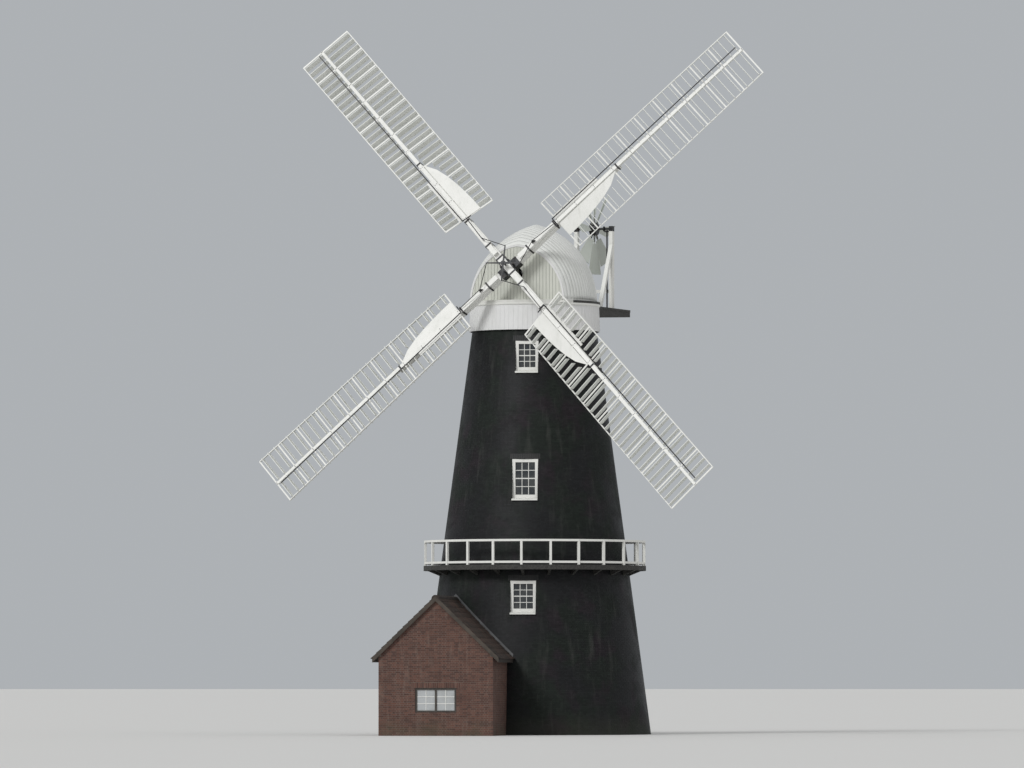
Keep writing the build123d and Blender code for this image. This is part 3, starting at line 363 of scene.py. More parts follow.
def makeWhite(name):
    look = whites[name]
    w = newFinish(name)
    here = w.here()
    spell = w.place(weather, Size=0.8, Length=5.0)
    grain = w.place(timberGrain, Stretch=(14.0, 14.0, 0.9))["Grain"]
    colour = w.blend(w.times(spell["Patches"], look["grime"]), look["paint"], (0.48, 0.50, 0.45))
    colour = w.blend(w.times(spell["Runs"], look["grime"]), colour, (0.36, 0.38, 0.32))
    flaked = w.span(w.noise(here, 17.0, 6.0, 0.75), 0.66, 0.70)
    bare = w.calc("MULTIPLY", flaked, look["flakes"] * 4, clamp=True)
    colour = w.blend(bare, colour, (0.22, 0.19, 0.15))
    height = w.minus(w.times(grain, 0.25), w.times(bare, 0.5))
    if "board" in look:
        across = capAxes(w, here)[0 if name == "breastBoards" else 1]
        laid = w.place(boarding, Across=across, Board=look["board"], Gap=0.012)
        colour = w.blend(w.times(laid["Groove"], 0.55), colour, (0.16, 0.17, 0.15))
        colour = w.blend(w.times(laid["Tone"], 0.14), colour, (0.42, 0.43, 0.39))
        height = w.minus(height, w.times(laid["Groove"], 3.0))
    return w.dress(colour, w.plus(w.times(bare, 0.35), look["rough"]), w.relief(height, 0.003, 0.8))


# Timber that isn't white, and how it is finished
timbers = {
    "tarredTimber": dict(light=(0.060, 0.058, 0.052), dark=(0.020, 0.020, 0.019), rough=0.7,
                         stretch=(11.0, 11.0, 6.0)),
    "bareTimber": dict(light=(0.42, 0.30, 0.19), dark=(0.20, 0.13, 0.08), rough=0.75,
                       stretch=(12.0, 1.1, 12.0)),
    "darkPaint": dict(light=(0.075, 0.062, 0.050), dark=(0.030, 0.026, 0.022), rough=0.45,
                      stretch=(16.0, 16.0, 1.0)),
}


def makeTimber(name):
    look = timbers[name]
    w = newFinish(name)
    spell = w.place(weather, Size=0.6)
    grain = w.place(timberGrain, Stretch=look["stretch"])["Grain"]
    colour = w.blend(grain, look["dark"], look["light"])
    colour = w.blend(w.times(spell["Patches"], 0.4), colour, look["dark"])
    rough = w.span(grain, 0.0, 1.0, look["rough"] + 0.12, look["rough"] - 0.06)
    return w.dress(colour, rough, w.relief(grain, 0.0015, 0.8))


def makeDeckPaintAndShade():          # the deck's rim is white before the cap's front, and behind it dark grained timber as painted shade under the roof's overhang
    look = dict(white=(0.66, 0.66, 0.63), grime=(0.42, 0.43, 0.38), dark=(0.020, 0.020, 0.019),
                light=(0.055, 0.053, 0.048), shadeFrom=(-1.52, -1.48))
    w = newFinish("deckPaintAndShade")
    spell = w.place(weather, Size=0.6)
    grain = w.place(timberGrain, Stretch=(11.0, 11.0, 6.0))["Grain"]
    white = w.blend(w.times(spell["Patches"], 0.25), look["white"], look["grime"])
    # painted shade: the rim behind the cap's front is coloured as dark timber, where the roof's overhang
    # shades it
    shadedRim = w.blend(grain, look["dark"], look["light"])
    # white before the cap's front, turning over a short span along the cap to the painted shade behind it
    colour = w.blend(w.span(capAxes(w, w.here())[1], *look["shadeFrom"]), white, shadedRim)
    return w.dress(colour, w.span(grain, 0.0, 1.0, 0.72, 0.52), w.relief(grain, 0.0015, 0.8))


def makeIron():
    look = dict(iron=(0.022, 0.023, 0.025), rust=(0.085, 0.042, 0.024), dust=(0.05, 0.05, 0.05))
    w = newFinish("blackIron")
    spell = w.place(weather, Size=0.4)
    rust = w.span(w.noise(w.here(), 5.0, 6.0, 0.7), 0.52, 0.70)
    colour = w.blend(w.times(rust, 0.55), look["iron"], look["rust"])
    colour = w.blend(w.times(spell["Patches"], 0.3), colour, look["dust"])
    w.feed(w.shader["Metallic"], w.span(rust, 0.0, 1.0, 0.6, 0.1))
    return w.dress(colour, w.span(rust, 0.0, 1.0, 0.42, 0.8), w.relief(spell["Specks"], 0.002, 0.6))


def makeGlass(name, clean, dusty, clearness):
    w = newFinish(name)
    spell = w.place(weather, Size=0.5)
    colour = w.blend(w.times(spell["Patches"], 0.5), clean, dusty)
    rough = w.span(spell["Specks"], 0.35, 0.7, 0.03, 0.16)
    w.feed(w.shader["Transmission Weight"], clearness)
    w.feed(w.shader["IOR"], 1.45)
    return w.dress(colour, rough, w.relief(w.noise(w.here(), 3.0, 2.0), 0.006, 0.35))


def makePlain(name, colour, speck, roughness, grit):
    w = newFinish(name)
    spell = w.place(weather, Size=0.5)
    rough = w.span(spell["Specks"], 0.3, 0.7, roughness - 0.08, roughness + 0.06)
    return w.dress(w.blend(spell["Patches"], colour, speck), rough, w.relief(spell["Specks"], grit, 0.6))


tarredWall, tarredBrick = [makeTarredBrick(name) for name in ("tarredWall", "tarredBrick")]
redBrick, floorBrick = [makeBrick(name) for name in bricks]
pantile = makePantile()
whiteJoinery, roofBoards, skirtBoards, breastBoards, whiteSail, whiteShutter, fanBlade = [
    makeWhite(name) for name in whites]
tarredTimber, bareTimber, darkPaint = [makeTimber(name) for name in timbers]
deckPaintAndShade = makeDeckPaintAndShade()
blackIron = makeIron()
windowGlass = makeGlass("windowGlass", (0.045, 0.052, 0.058), (0.13, 0.135, 0.13), 0.30)
blindGlass = makeGlass("blindGlass", (0.50, 0.52, 0.53), (0.36, 0.37, 0.36), 0.15)
vergeMortar = makePlain("vergeMortar", (0.075, 0.060, 0.048), (0.045, 0.038, 0.031), 0.85, 0.006)
limeMortar = makePlain("limeMortar", (0.18, 0.155, 0.13), (0.11, 0.095, 0.078), 0.9, 0.004)
leadSheet = makePlain("leadSheet", (0.060, 0.062, 0.064), (0.095, 0.097, 0.100), 0.65, 0.004)
tarredArch = makePlain("tarredArch", (0.013, 0.0135, 0.014), (0.024, 0.023, 0.022), 0.6, 0.005)

finishes = [
    (tarredWall, ["tower_wall_front", "tower_wall_right", "tower_wall_back", "tower_wall_left"]),
    (limeMortar, ["annexe_front_wall", "annexe_right_wall", "annexe_left_wall", "annexe_back_wall"]),
    (floorBrick, ["ground_floor", "annexe_floor"]),
    (pantile, ["annexe_roof_left", "annexe_roof_right", "annexe_ridge"]),
    (whiteJoinery, ["window_frames", "window_sills", "gallery_posts", "gallery_top_rail",
                    "gallery_low_rail", "cap_moulding", "fan_frame"]),
    (fanBlade, ["fan_blades"]),
    (roofBoards, ["cap_roof"]),
    (skirtBoards, ["cap_petticoat"]),
    (breastBoards, ["cap_breast"]),
    (deckPaintAndShade, ["cap_deck"]),
    (whiteSail, ["stocks", "whips", "heel_boards", "sail_frame_1", "sail_frame_2", "sail_frame_3",
                 "sail_frame_4"]),
    (whiteShutter, ["shutters_1", "shutters_2", "shutters_3", "shutters_4"]),
    (tarredTimber, ["gallery_deck", "gallery_rim", "gallery_brackets", "cap_sheers", "fan_stage"]),
    (bareTimber, ["upper_floors", "curb_ring", "cap_circle", "shaft_beams"]),
    (darkPaint, ["door_frames", "doors", "annexe_window_frame"]),
    (blackIron, ["windshaft", "canister", "shaft_bearings", "fan_hub", "fan_bearings", "fan_drive",
                 "striking_gear", "sail_straps"]),
    (windowGlass, ["window_glass"]),
    (blindGlass, ["annexe_glass"]),
]
for finish, nodes in finishes:
    for node in nodes:
        mesh = frame["nodes"][node].data
        mesh.materials.clear()
        mesh.materials.append(finish)
print("every CAD node has its finish")


# Pieces built here

def addBlock(bm, place, size, bevel=0.0):
    made = bmesh.ops.create_cube(bm, size=1.0, matrix=place @ Matrix.Diagonal((*size, 1.0)))
    if bevel:
        edges = {edge for vertex in made["verts"] for edge in vertex.link_edges}
        bmesh.ops.bevel(bm, geom=list(edges), offset=bevel, segments=1, affect="EDGES")


def addRings(bm, rings, closed=True, smooth=(), ends=True):  # faces from ring to ring, and over both ends
    rows = [[bm.verts.new(point) for point in ring] for ring in rings]
    corners = len(rows[0])
    for first, second in zip(rows, rows[1:]):
        for corner in range(corners if closed else corners - 1):
            following = (corner + 1) % corners
            face = bm.faces.new((first[corner], first[following], second[following], second[corner]))
            face.smooth = corner in smooth
    if ends:
        bm.faces.new(rows[0][::-1])
        bm.faces.new(rows[-1])


def addObject(name, data):
    made = bpy.data.objects.new(name, data)
    bpy.context.scene.collection.objects.link(made)
    return made


def finishMesh(name, mesh, finish, body):
    mesh.materials.append(finish)
    piece = addObject(name, mesh)
    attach(piece, body)
    return piece


def finishPiece(name, bm, finish, body="tower", sheets=False):
    if not sheets:
        bmesh.ops.recalc_face_normals(bm, faces=bm.faces)
    mesh = bpy.data.meshes.new(name)
    bm.to_mesh(mesh)
    bm.free()
    return finishMesh(name, mesh, finish, body)


def paintTones(mesh, tones):  # one value a face
    mesh.attributes.new("tone", "FLOAT", "FACE").data.foreach_set("value", tones)


def finishBricks(name, blocks, finish, seed):        # a block is four outer corners, then four inner
    rng = random.Random(seed)
    sides = ((0, 1, 2, 3), (7, 6, 5, 4), (0, 4, 5, 1), (3, 2, 6, 7), (0, 3, 7, 4), (1, 5, 6, 2))
    faces = [[8 * number + corner for corner in side] for number in range(len(blocks)) for side in sides]
    mesh = bpy.data.meshes.new(name)
    mesh.from_pydata([corner for block in blocks for corner in block], [], faces)
    tones = [rng.random() for block in blocks]
    paintTones(mesh, [tone for tone in tones for side in sides])
    return finishMesh(name, mesh, finish, "tower")


bondLength = brick["stretcher"] + brick["header"] + 2 * brick["joint"]
coursePitch = brick["height"] + brick["joint"]


def layCourse(start, units, unit, course):  # stretcher and header by turns, shifted in every other course
    share = unit / bondLength
    first = start - (unit / 2 if course % 2 else 0)
    pair = ((0, brick["stretcher"]), (brick["stretcher"] + brick["joint"], bondLength - brick["joint"]))
    return [(first + number * unit + near * share, first + number * unit + far * share)
            for number in range(units) for near, far in pair]


def cutRound(near, far, low, high, holes):       # what is left of a brick beside, over or under the holes
    parts = [(near, far, low, high)]
    for left, right, sill, head in holes:
        whole, parts = parts, []
        for near, far, low, high in whole:
            if far <= left or near >= right or high <= sill or low >= head:
                parts.append((near, far, low, high))
            else:
                nearer, farther = max(near, left), min(far, right)
                parts += [(near, left, low, high), (nearer, farther, low, sill),
                          (nearer, farther, head, high), (right, far, low, high)]
    least = brick["least"]
    return [part for part in parts if part[1] - part[0] > least and part[3] - part[2] > least / 2]


def courseLevels(top):
    levels = [number * coursePitch + brick["joint"] / 2 for number in range(ceil(top / coursePitch))]
    return [(low, min(low + brick["height"], top)) for low in levels if top - low > brick["least"]]


def archCount(width, bearing):
    return round((width + 2 * bearing) / coursePitch)


def holesRound(middle, sill, width, head, bearing):        # an opening and the brick arch over it
    lap, touch = 0.002, 0.001
    reach = (archCount(width, bearing) * coursePitch + brick["joint"]) / 2
    return [(middle - width / 2 + lap, middle + width / 2 - lap, sill + lap, head),
            (middle - reach, middle + reach, head - touch, head + brick["stretcher"] + 2 * brick["joint"])]


def buildTowerBricks():
    sides = ("Front", "Right", "Back", "Left")
    quarters = [[] for side in sides]
    for course, (low, high) in enumerate(courseLevels(mill["height"])):
        radius = wallRadius((low + high) / 2)
        bandRadius = wallRadius((low // brick["bandHeight"] + 0.5) * brick["bandHeight"])
        units = round(2 * pi * bandRadius / bondLength)
        holes = [hole for turn, sill, width, height in towerOpenings
                 for hole in holesRound(turn * radius, sill, width, sill + height, mill["archBearing"])
                 if hole[2] < high and hole[3] > low]
        around = 2 * pi * radius
        for near, far in layCourse(-around / 4, units, around / units, course):
            for left, right, under, over in cutRound(near, far, low, high, holes):
                block = []
                for inward in (0, brick["depth"]):
                    for place, level in ((left, under), (right, under), (right, over), (left, over)):
                        reach = wallRadius(level) + brick["proud"] - inward
                        block.append((reach * sin(place / radius), -reach * cos(place / radius), level))
                quarters[int(((left + right) / 2 / around + 1 / 8) % 1 * 4)].append(block)
    for seed, (side, blocks) in enumerate(zip(sides, quarters)):
        finishBricks("towerBricks" + side, blocks, tarredBrick, seed)


def flatBlock(place, face, proud, outline):      # across and up in the wall, seen from outside
    return [place @ Vector((across, inward - proud - face, level)) for inward in (0, brick["depth"])
            for across, level in outline]


def layWall(turn, face, start, end, top, within, holes=(), later=0):
    sliver = 0.002
    start, end = start - brick["proud"], end + brick["proud"]
    units = round((end - start - brick["stretcher"]) / bondLength)
    unit = bondLength * (end - start) / (units * bondLength + brick["stretcher"])
    place = turned(turn)
    blocks = []
    for course, (low, high) in enumerate(courseLevels(top), later):
        inset = (brick["depth"] + brick["joint"]) if course % 2 else 0  # behind the other wall's corner
        for near, far in layCourse(start, units + 2, unit, course):
            for left, right, under, over in cutRound(near, far, low, high, holes):
                rows = []
                for level in (under, over):
                    least, most = within(level)
                    nearer = min(max(left, start + inset, least), right - sliver)
                    rows.append((nearer, max(min(right, end - inset, most), nearer + sliver)))
                if max(row[1] - row[0] for row in rows) > brick["least"]:
                    (lowLeft, lowRight), (highLeft, highRight) = rows
                    outline = ((lowLeft, under), (lowRight, under), (highRight, over), (highLeft, over))
                    blocks.append(flatBlock(place, face, brick["proud"], outline))
    return blocks


def buildAnnexeBricks():
    front, back, middle, half = annexe["front"], annexe["back"], annexe["middle"], annexe["width"] / 2
    apex, right = annexeRidge - annexe["roof"] / slope, middle + half
    eaves, bearing = apex - half * slopeFall, annexe["archBearing"]
    (sill, width, height), (threshold, doorWidth, doorHeight) = annexe["window"], annexe["door"]
    windowHoles = holesRound(middle, sill, width, sill + height, bearing)
    doorHoles = holesRound(-doorAlong, 0.0, doorWidth, threshold + doorHeight, bearing)

    def gable(level, middle):
        return middle - (apex - level) / slopeFall, middle + (apex - level) / slopeFall

    def besideTower(level, away):
        return sqrt(wallRadius(level) ** 2 - away ** 2)

    def backGable(level):
        least, most = gable(level, -middle)
        return max(besideTower(level, back), least), most

    blocks = layWall(0, -front, middle - half, right, apex, lambda level: gable(level, middle), windowHoles)
    blocks += layWall(pi, back, -right, half - middle, apex, backGable)
    blocks += layWall(-pi / 2, half - middle, -back, -front, eaves,
                      lambda level: (-back - 1, 1 - front), doorHoles, later=1)
    blocks += layWall(pi / 2, right, front, back, eaves,
                      lambda level: (front - 1, -besideTower(level, right)), later=1)
    finishBricks("annexeBricks", blocks, redBrick, seed=7)


def buildAnnexeArches():
    size = dict(proud=0.006, lift=0.004)
    (sill, width, height), (threshold, doorWidth, doorHeight) = annexe["window"], annexe["door"]
    blocks = []
    for turn, face, middle, width, head in (
            (0, -annexe["front"], annexe["middle"], width, sill + height),
            (-pi / 2, annexe["width"] / 2 - annexe["middle"], -doorAlong, doorWidth,
             threshold + doorHeight)):
        low, high = head + size["lift"], head + size["lift"] + brick["stretcher"]
        count = archCount(width, annexe["archBearing"])
        for number in range(count):
            left = middle + (number - count / 2) * coursePitch + brick["joint"] / 2
            right = left + brick["height"]
            outline = ((left, low), (right, low), (right, high), (left, high))
            blocks.append(flatBlock(turned(turn), face, size["proud"], outline))
    finishBricks("annexeArches", blocks, redBrick, seed=9)


def buildWindowArches():
    size = dict(rise=0.225, lift=0.005, proud=0.009, depth=0.10, bevel=0.004)
    bm = bmesh.new()
    for facing, sill, width, height in towerOpenings:
        middle = sill + height + size["rise"] / 2 + size["lift"]
        radius = wallRadius(middle)
        count = archCount(width, mill["archBearing"])
        for number in range(count):
            turn = (number - (count - 1) / 2) * coursePitch / radius
            place = turned(turn + facing) @ at(0, -radius - size["proud"] + size["depth"] / 2, middle)
            block = (brick["height"], size["depth"], size["rise"])
            addBlock(bm, place @ turned(-atan(taper), "X"), block, size["bevel"])
    finishPiece("windowArches", bm, tarredArch)


def addBars(bm, size, x, y, low, width, height):      # upright glazing bars, and thinner ones across them
    for number in range(1, size["across"]):
        place = at(x + width * (number / size["across"] - 0.5), y, low + height / 2)
        addBlock(bm, place, (size["bar"], size["barDepth"], height), size["bevel"])
    for number in range(1, size["up"]):
        bar = size["meetingRail"] if 2 * number == size["up"] else size["bar"]
        place = at(x, y, low + height * number / size["up"])
        addBlock(bm, place, (width, size["acrossDepth"], bar), size["bevel"])


def buildWindowBars():
    size = dict(frameFace=0.13, frameDepth=0.12, recess=0.025, sillHeight=0.11, bar=0.028, meetingRail=0.045,
                barDepth=0.05, acrossDepth=0.045, across=3, up=4, bevel=0.006)
    bm = bmesh.new()
    for turn, sill, width, height in towerWindows:
        y = -cos(turn) * (wallRadius(sill + height) - size["recess"] - size["frameDepth"] / 2)
        low = sill + size["sillHeight"] + size["frameFace"]
        addBars(bm, size, 0, y, low, width - 2 * size["frameFace"], sill + height - size["frameFace"] - low)
    finishPiece("windowBars", bm, whiteJoinery)


def buildAnnexeWindow():
    size = dict(frame=0.08, depthShare=0.35, bar=0.03, meetingRail=0.03, barDepth=0.04, acrossDepth=0.036,
                across=2, up=3, bevel=0.005)
    (sill, width, height), frame = annexe["window"], size["frame"]
    y = annexe["front"] + annexe["wall"] * size["depthShare"]
    bm = bmesh.new()
    for side in (-1, 1):
        x = annexe["middle"] + side * (width - frame) / 4
        addBars(bm, size, x, y, sill + frame, width / 2 - 1.5 * frame, height - 2 * frame)
    finishPiece("annexeWindowBars", bm, whiteJoinery)


def buildPantiles(side, name):
    size = dict(gauge=0.292, lap=0.075, width=0.245, roll=0.034, rollLean=1.35, sideLap=1.02, thick=0.014,
                lift=0.012, tilt=0.028, lip=0.012, uneven=(-0.004, 0.006), points=8, overhang=0.05,
                ridgeGap=0.02, intoTower=0.05)
    rng = random.Random(41 + side)
    run = annexe["halfSpan"] / slope
    length = annexe["back"] - annexe["front"] + 2 * annexe["verge"]
    columns = round(length / size["width"])
    width = length / columns
    courses = round(run / size["gauge"])
    gauge = (run + size["overhang"]) / courses
    downSlope = Vector((side * slope, 0, -sin(annexe["pitch"])))
    outward = Vector((side * sin(annexe["pitch"]), 0, slope))
    ridge = Vector((annexe["middle"], 0, annexeRidge))
    shares = [number / size["points"] for number in range(size["points"] + 1)]
    profile = [0.5 - 0.5 * cos(2 * pi * share ** size["rollLean"]) for share in shares]
    bm = bmesh.new()
    tones = []
    for course in range(courses):
        low = run + size["overhang"] - course * gauge
        high = max(low - gauge - size["lap"], size["ridgeGap"])
        for column in range(columns):
            start = annexe["front"] - annexe["verge"] + column * width
            corners = [ridge + downSlope * low, ridge + downSlope * high]
            if all(hypot(corner.x, y) < wallRadius(corner.z) - size["intoTower"] for corner in corners
                   for y in (start, start + width)):
                continue
            uneven = rng.uniform(*size["uneven"])
            edges = ((low, size["lift"] + size["tilt"] + uneven), (high, size["lift"]))
            rows = [[ridge + downSlope * distance + Vector((0, start + width * share * size["sideLap"], 0))
                     + outward * (lift + size["roll"] * rise) for share, rise in zip(shares, profile)]
                    for distance, lift in edges]
            rows = [[point - outward * (size["thick"] + size["lip"]) for point in rows[0]], *rows]
            addRings(bm, zip(*rows[::side]), closed=False, smooth=[(side + 1) // 2], ends=False)
            tones += [rng.random()] * 2 * size["points"]
    paintTones(finishPiece(name, bm, pantile, sheets=True).data, tones)


def buildRidgeTiles():
    size = dict(length=0.45, radius=0.150, collar=0.012, collarLength=0.05, step=0.005, lap=0.01, drop=0.075,
                halfTurn=102, points=12, intoTower=0.02)
    start, end = annexe["front"] - annexe["verge"], annexe["back"] + size["intoTower"]
    count = round((end - start) / size["length"])
    length = (end - start) / count
    points = size["points"]
    turns = [radians(size["halfTurn"] * (2 * point / points - 1)) for point in range(points + 1)]
    bm = bmesh.new()
    for number in range(count):
        near, far = start + number * length, start + (number + 1) * length + size["lap"]
        shoulder = near + size["collarLength"]
        rings = [[(annexe["middle"] + radius * sin(turn), y, annexeRidge - size["drop"] + radius * cos(turn))
                  for turn in turns] for y, radius in (
                      (near, size["radius"] + size["collar"]), (shoulder, size["radius"] + size["collar"]),
                      (shoulder + size["step"], size["radius"]), (far, size["radius"]))]
        addRings(bm, rings, closed=False, smooth=range(points))
    return finishPiece("ridgeTiles", bm, pantile)


def buildVerges():
    size = dict(depth=0.15, thick=0.028, above=0.03)
    front = annexe["front"] - annexe["verge"]
    above, below = [rise / slope for rise in (size["above"], size["above"] - size["depth"])]
    bm = bmesh.new()
    for side in (-1, 1):
        foot = side * annexe["halfSpan"]
        outline = [(0, annexeRidge + below), (foot, annexe["eaves"] + below),
                   (foot, annexe["eaves"] + above), (0, annexeRidge + above)]
        addRings(bm, [[(annexe["middle"] + x, y, z) for x, z in outline]
                      for y in (front, front - size["thick"])])
    finishPiece("annexeVerges", bm, vergeMortar)


def buildFlashing():
    size = dict(wall=0.14, roof=0.16, lift=0.062, thick=0.010, steps=26, backEdge=-2.73)
    bm = bmesh.new()
    for side in (-1, 1):
        rows = []
        for step in range(size["steps"] + 1):
            out = annexe["halfSpan"] * step / size["steps"]
            x, z = annexe["middle"] + side * out, annexeRidge - out * slopeFall + size["lift"]
            reach = wallRadius(z) ** 2 - x ** 2
            if reach <= 0 or -sqrt(reach) > size["backEdge"]:
                continue
            y = -sqrt(reach)
            higher = z + size["wall"]
            top = Vector((x, y, 0)) * (wallRadius(higher) + size["thick"]) / wallRadius(z)
            top.z = higher
            rows.append((top, (x, y - size["thick"], z), (x, y - size["roof"], z)))
        addRings(bm, rows, closed=False, ends=False)
    finishPiece("leadFlashing", bm, leadSheet)


def buildGalleryBoards():
    size = dict(boards=4, gap=0.006, thick=0.06, inner=3.93)
    half = pi / mill["galleryBays"]
    board = (mill["galleryRadius"] * cos(half) - size["inner"]) / size["boards"]
    bm = bmesh.new()
    for bay in range(mill["galleryBays"]):
        turn = turned((bay + 0.5) * 2 * half)
        for number in range(size["boards"]):
            near = size["inner"] + number * board + size["gap"] / 2
            far = near + board - size["gap"]
            nearReach, farReach = [apothem * tan(half) - size["gap"] / 2 for apothem in (near, far)]
            outline = [(near, -nearReach), (far, -farReach), (far, farReach), (near, nearReach)]
            levels = (mill["galleryLevel"] - size["thick"], mill["galleryLevel"])
            addRings(bm, [[turn @ Vector((x, y, level)) for x, y in outline] for level in levels])
    return finishPiece("galleryBoards", bm, tarredTimber)


def buildPetticoatStrips():
    size = dict(count=84, width=0.03, proud=0.012, topRadius=2.70, footRadius=2.74, underMoulding=0.115,
                overFoot=0.01, bevel=0.003, sheerWay=(1.08, 1.42))
    low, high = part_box("cap_petticoat")
    top, foot = high.z - size["underMoulding"], low.z + size["overFoot"]
    lean = atan2(size["footRadius"] - size["topRadius"], top - foot)
    radius = (size["topRadius"] + size["footRadius"]) / 2
    bm = bmesh.new()
    for number in range(size["count"]):
        turn = (number + 0.5) * 2 * pi / size["count"]
        beside = abs(size["topRadius"] * cos(turn))
        if sin(turn) > 0 and size["sheerWay"][0] < beside < size["sheerWay"][1]:
            continue
        place = turned(mill["capYaw"] + turn) @ at(radius, 0, (top + foot) / 2) @ turned(-lean, "Y")
        addBlock(bm, place, (2 * size["proud"], size["width"], top - foot), size["bevel"])
    finishPiece("petticoatStrips", bm, skirtBoards, "cap")


capFace, capFoot = -2.0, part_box("cap_roof")[0].z  # where the cap's front is, and the level under its roof


def buildRoofBoards():        # boards bent over the cap's roof, each lying on the surface that a ray finds
    size = dict(end=4.2, board=0.2, gap=0.007, thick=0.012, sunk=0.002, chamfer=0.003, foot=radians(1.5),
                steps=44, reach=6.0, nearRidge=0.01)
    surface = bmesh.new()
    surface.from_mesh(frame["nodes"]["cap_roof"].data)
    roof = BVHTree.FromBMesh(surface)
    surface.free()
    foot, steps = size["foot"], size["steps"]
    turns = [foot + (pi - 2 * foot) * step / steps for step in range(steps + 1)]

    def lift(place, *heights):
        rows = [[] for height in heights]
        for turn in turns:
            aim = (capPlace(0, 0, 0) @ Vector((cos(turn), 0, sin(turn)))).normalized()
            start = capPlace(0, place, capFoot) @ Vector() + aim * size["reach"]
            spot, normal, *rest = roof.ray_cast(start, -aim)
            if abs(turn - pi / 2) < size["nearRidge"]:        # the ridge has no single normal
                side = (capPlace(0, 0, 0) @ Vector((1, 0, 0))).normalized()
                normal = (normal - side * normal.dot(side)).normalized()
            for row, height in zip(rows, heights):
                row.append(spot + normal * height)
        return rows

    bm = bmesh.new()
    low, top, chamfer = -size["sunk"], size["thick"], size["chamfer"]
    for number in range(round((size["end"] - capFace) / size["board"])):
        near = capFace + number * size["board"] + size["gap"] / 2
        far = near + size["board"] - size["gap"]
        rows = lift(near, low, top - chamfer) + lift(near + chamfer, top) + lift((near + far) / 2, top)
        rows += lift(far - chamfer, top) + lift(far, top - chamfer, low)
        addRings(bm, zip(*rows), smooth=(2, 3))
    finishPiece("capRoofBoards", bm, roofBoards, "cap")


def archPoint(halfWidth, rise, share):         # on the cap's pointed arch, from its foot to its ridge
    radius = (halfWidth ** 2 + rise ** 2) / (2 * halfWidth)
    turn = share * acos(1 - halfWidth / radius)
    return halfWidth - radius + radius * cos(turn), radius * sin(turn)


def buildBreastBoards():      # upright boards on the cap's front, cut round the windshaft's neck
    size = dict(halfWidth=2.024, rise=2.254, gap=0.006, proud=0.012, sunk=0.002, neckLevel=1.112,
                neckHole=(0.252, 0.260), samples=6, endHeight=0.01)
    board = whites["breastBoards"]["board"]
    radius = (size["halfWidth"] ** 2 + size["rise"] ** 2) / (2 * size["halfWidth"])

    def archHeight(x):
        return sqrt(max(radius ** 2 - (abs(x) + radius - size["halfWidth"]) ** 2, size["endHeight"] ** 2))

    def holeHalf(x):
        return size["neckHole"][1] * sqrt(max(1 - (x / size["neckHole"][0]) ** 2, 0.0))

    bm = bmesh.new()
    count = ceil(size["halfWidth"] / board)
    for number in range(-count, count):
        left = max(number * board + size["gap"] / 2, -size["halfWidth"])
        right = min((number + 1) * board - size["gap"] / 2, size["halfWidth"])
        spots = [left + (right - left) * sample / size["samples"] for sample in range(size["samples"] + 1)]
        foot, head = [size["sunk"]] * len(spots), [archHeight(x) for x in spots]
        edges = [(foot, head)]
        if min(abs(left), abs(right)) < size["neckHole"][0]:
            edges = [(foot, [size["neckLevel"] - holeHalf(x) for x in spots]),
                     ([size["neckLevel"] + holeHalf(x) for x in spots], head)]
        for lows, highs in edges:
            outline = list(zip(spots, lows)) + list(zip(spots, highs))[::-1]
            addRings(bm, [[capPlace(x, capFace + depth, capFoot + z) @ Vector() for x, z in outline]
                          for depth in (size["sunk"], -size["proud"])])
    finishPiece("breastBoards", bm, breastBoards, "cap")


def buildBargeBoards():       # trim along the front edge of the cap's roof
    size = dict(outer=(2.114, 2.344), inner=(2.03, 2.26), thick=0.03, foot=0.01, steps=24)
    bm = bmesh.new()
    for side in (-1, 1):
        rings = []
        for step in range(size["steps"] + 1):
            share = size["foot"] + (1 - size["foot"]) * step / size["steps"]
            outer, inner = [archPoint(*arch, share) for arch in (size["outer"], size["inner"])]
            ring = ((outer, 0), (inner, 0), (inner, -size["thick"]), (outer, -size["thick"]))
            rings.append([capPlace(side * x, capFace + y, capFoot + z) @ Vector() for (x, z), y in ring])
        addRings(bm, rings)
    finishPiece("bargeBoards", bm, skirtBoards, "cap")


def buildStageBoards():       # planks across the sheers, where the stage's one slab is
    size = dict(start=4.3003, end=7.7, halfWidth=1.4, thick=0.1, board=0.19, gap=0.008, bevel=0.006)
    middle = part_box("fan_stage")[1].z - size["thick"] / 2
    count = round((size["end"] - size["start"]) / size["board"])
    pitch = (size["end"] - size["start"]) / count
    bm = bmesh.new()
    for number in range(count):
        place = capPlace(0, size["start"] + (number + 0.5) * pitch, middle)
        addBlock(bm, place, (2 * size["halfWidth"], pitch - size["gap"], size["thick"]), size["bevel"])
    return finishPiece("stageBoards", bm, tarredTimber, "cap")


shutterPitch = (sail["tip"] - sail["heel"]) / (3 * sail["bays"])
shutter = dict(width=0.32, thick=0.022, slat=0.032, rib=0.8, cloth=0.006, open=radians(84), gap=0.012,
               leaf=0.78, leafEnd=6.0, strip=0.3, stripEnd=5.2)


def shutterSpan(distance, side):       # from beside the whip, or the boards at the heel, to the hemlath
    width, depth = whipSize(distance)
    beside = sail["stockWidth"] if distance < sail["stockHalf"] + shutter["width"] else width
    inner = beside / 2 + depth / 2 * tan(weatherAngle(distance)) + shutter["gap"]
    if side > 0 and distance < shutter["leafEnd"]:
        share = max(0.0, (distance - shutterPitch - sail["heel"]) / (shutter["leafEnd"] - sail["heel"]))
        inner = max(inner, shutter["leaf"] * sqrt(1 - share ** 2) + shutter["gap"])
    if side < 0 and distance < shutter["stripEnd"]:
        inner = max(inner, shutter["strip"] + shutter["gap"])
    return inner, (sail["trailing"] if side > 0 else sail["leading"]) - sail["hemlath"]


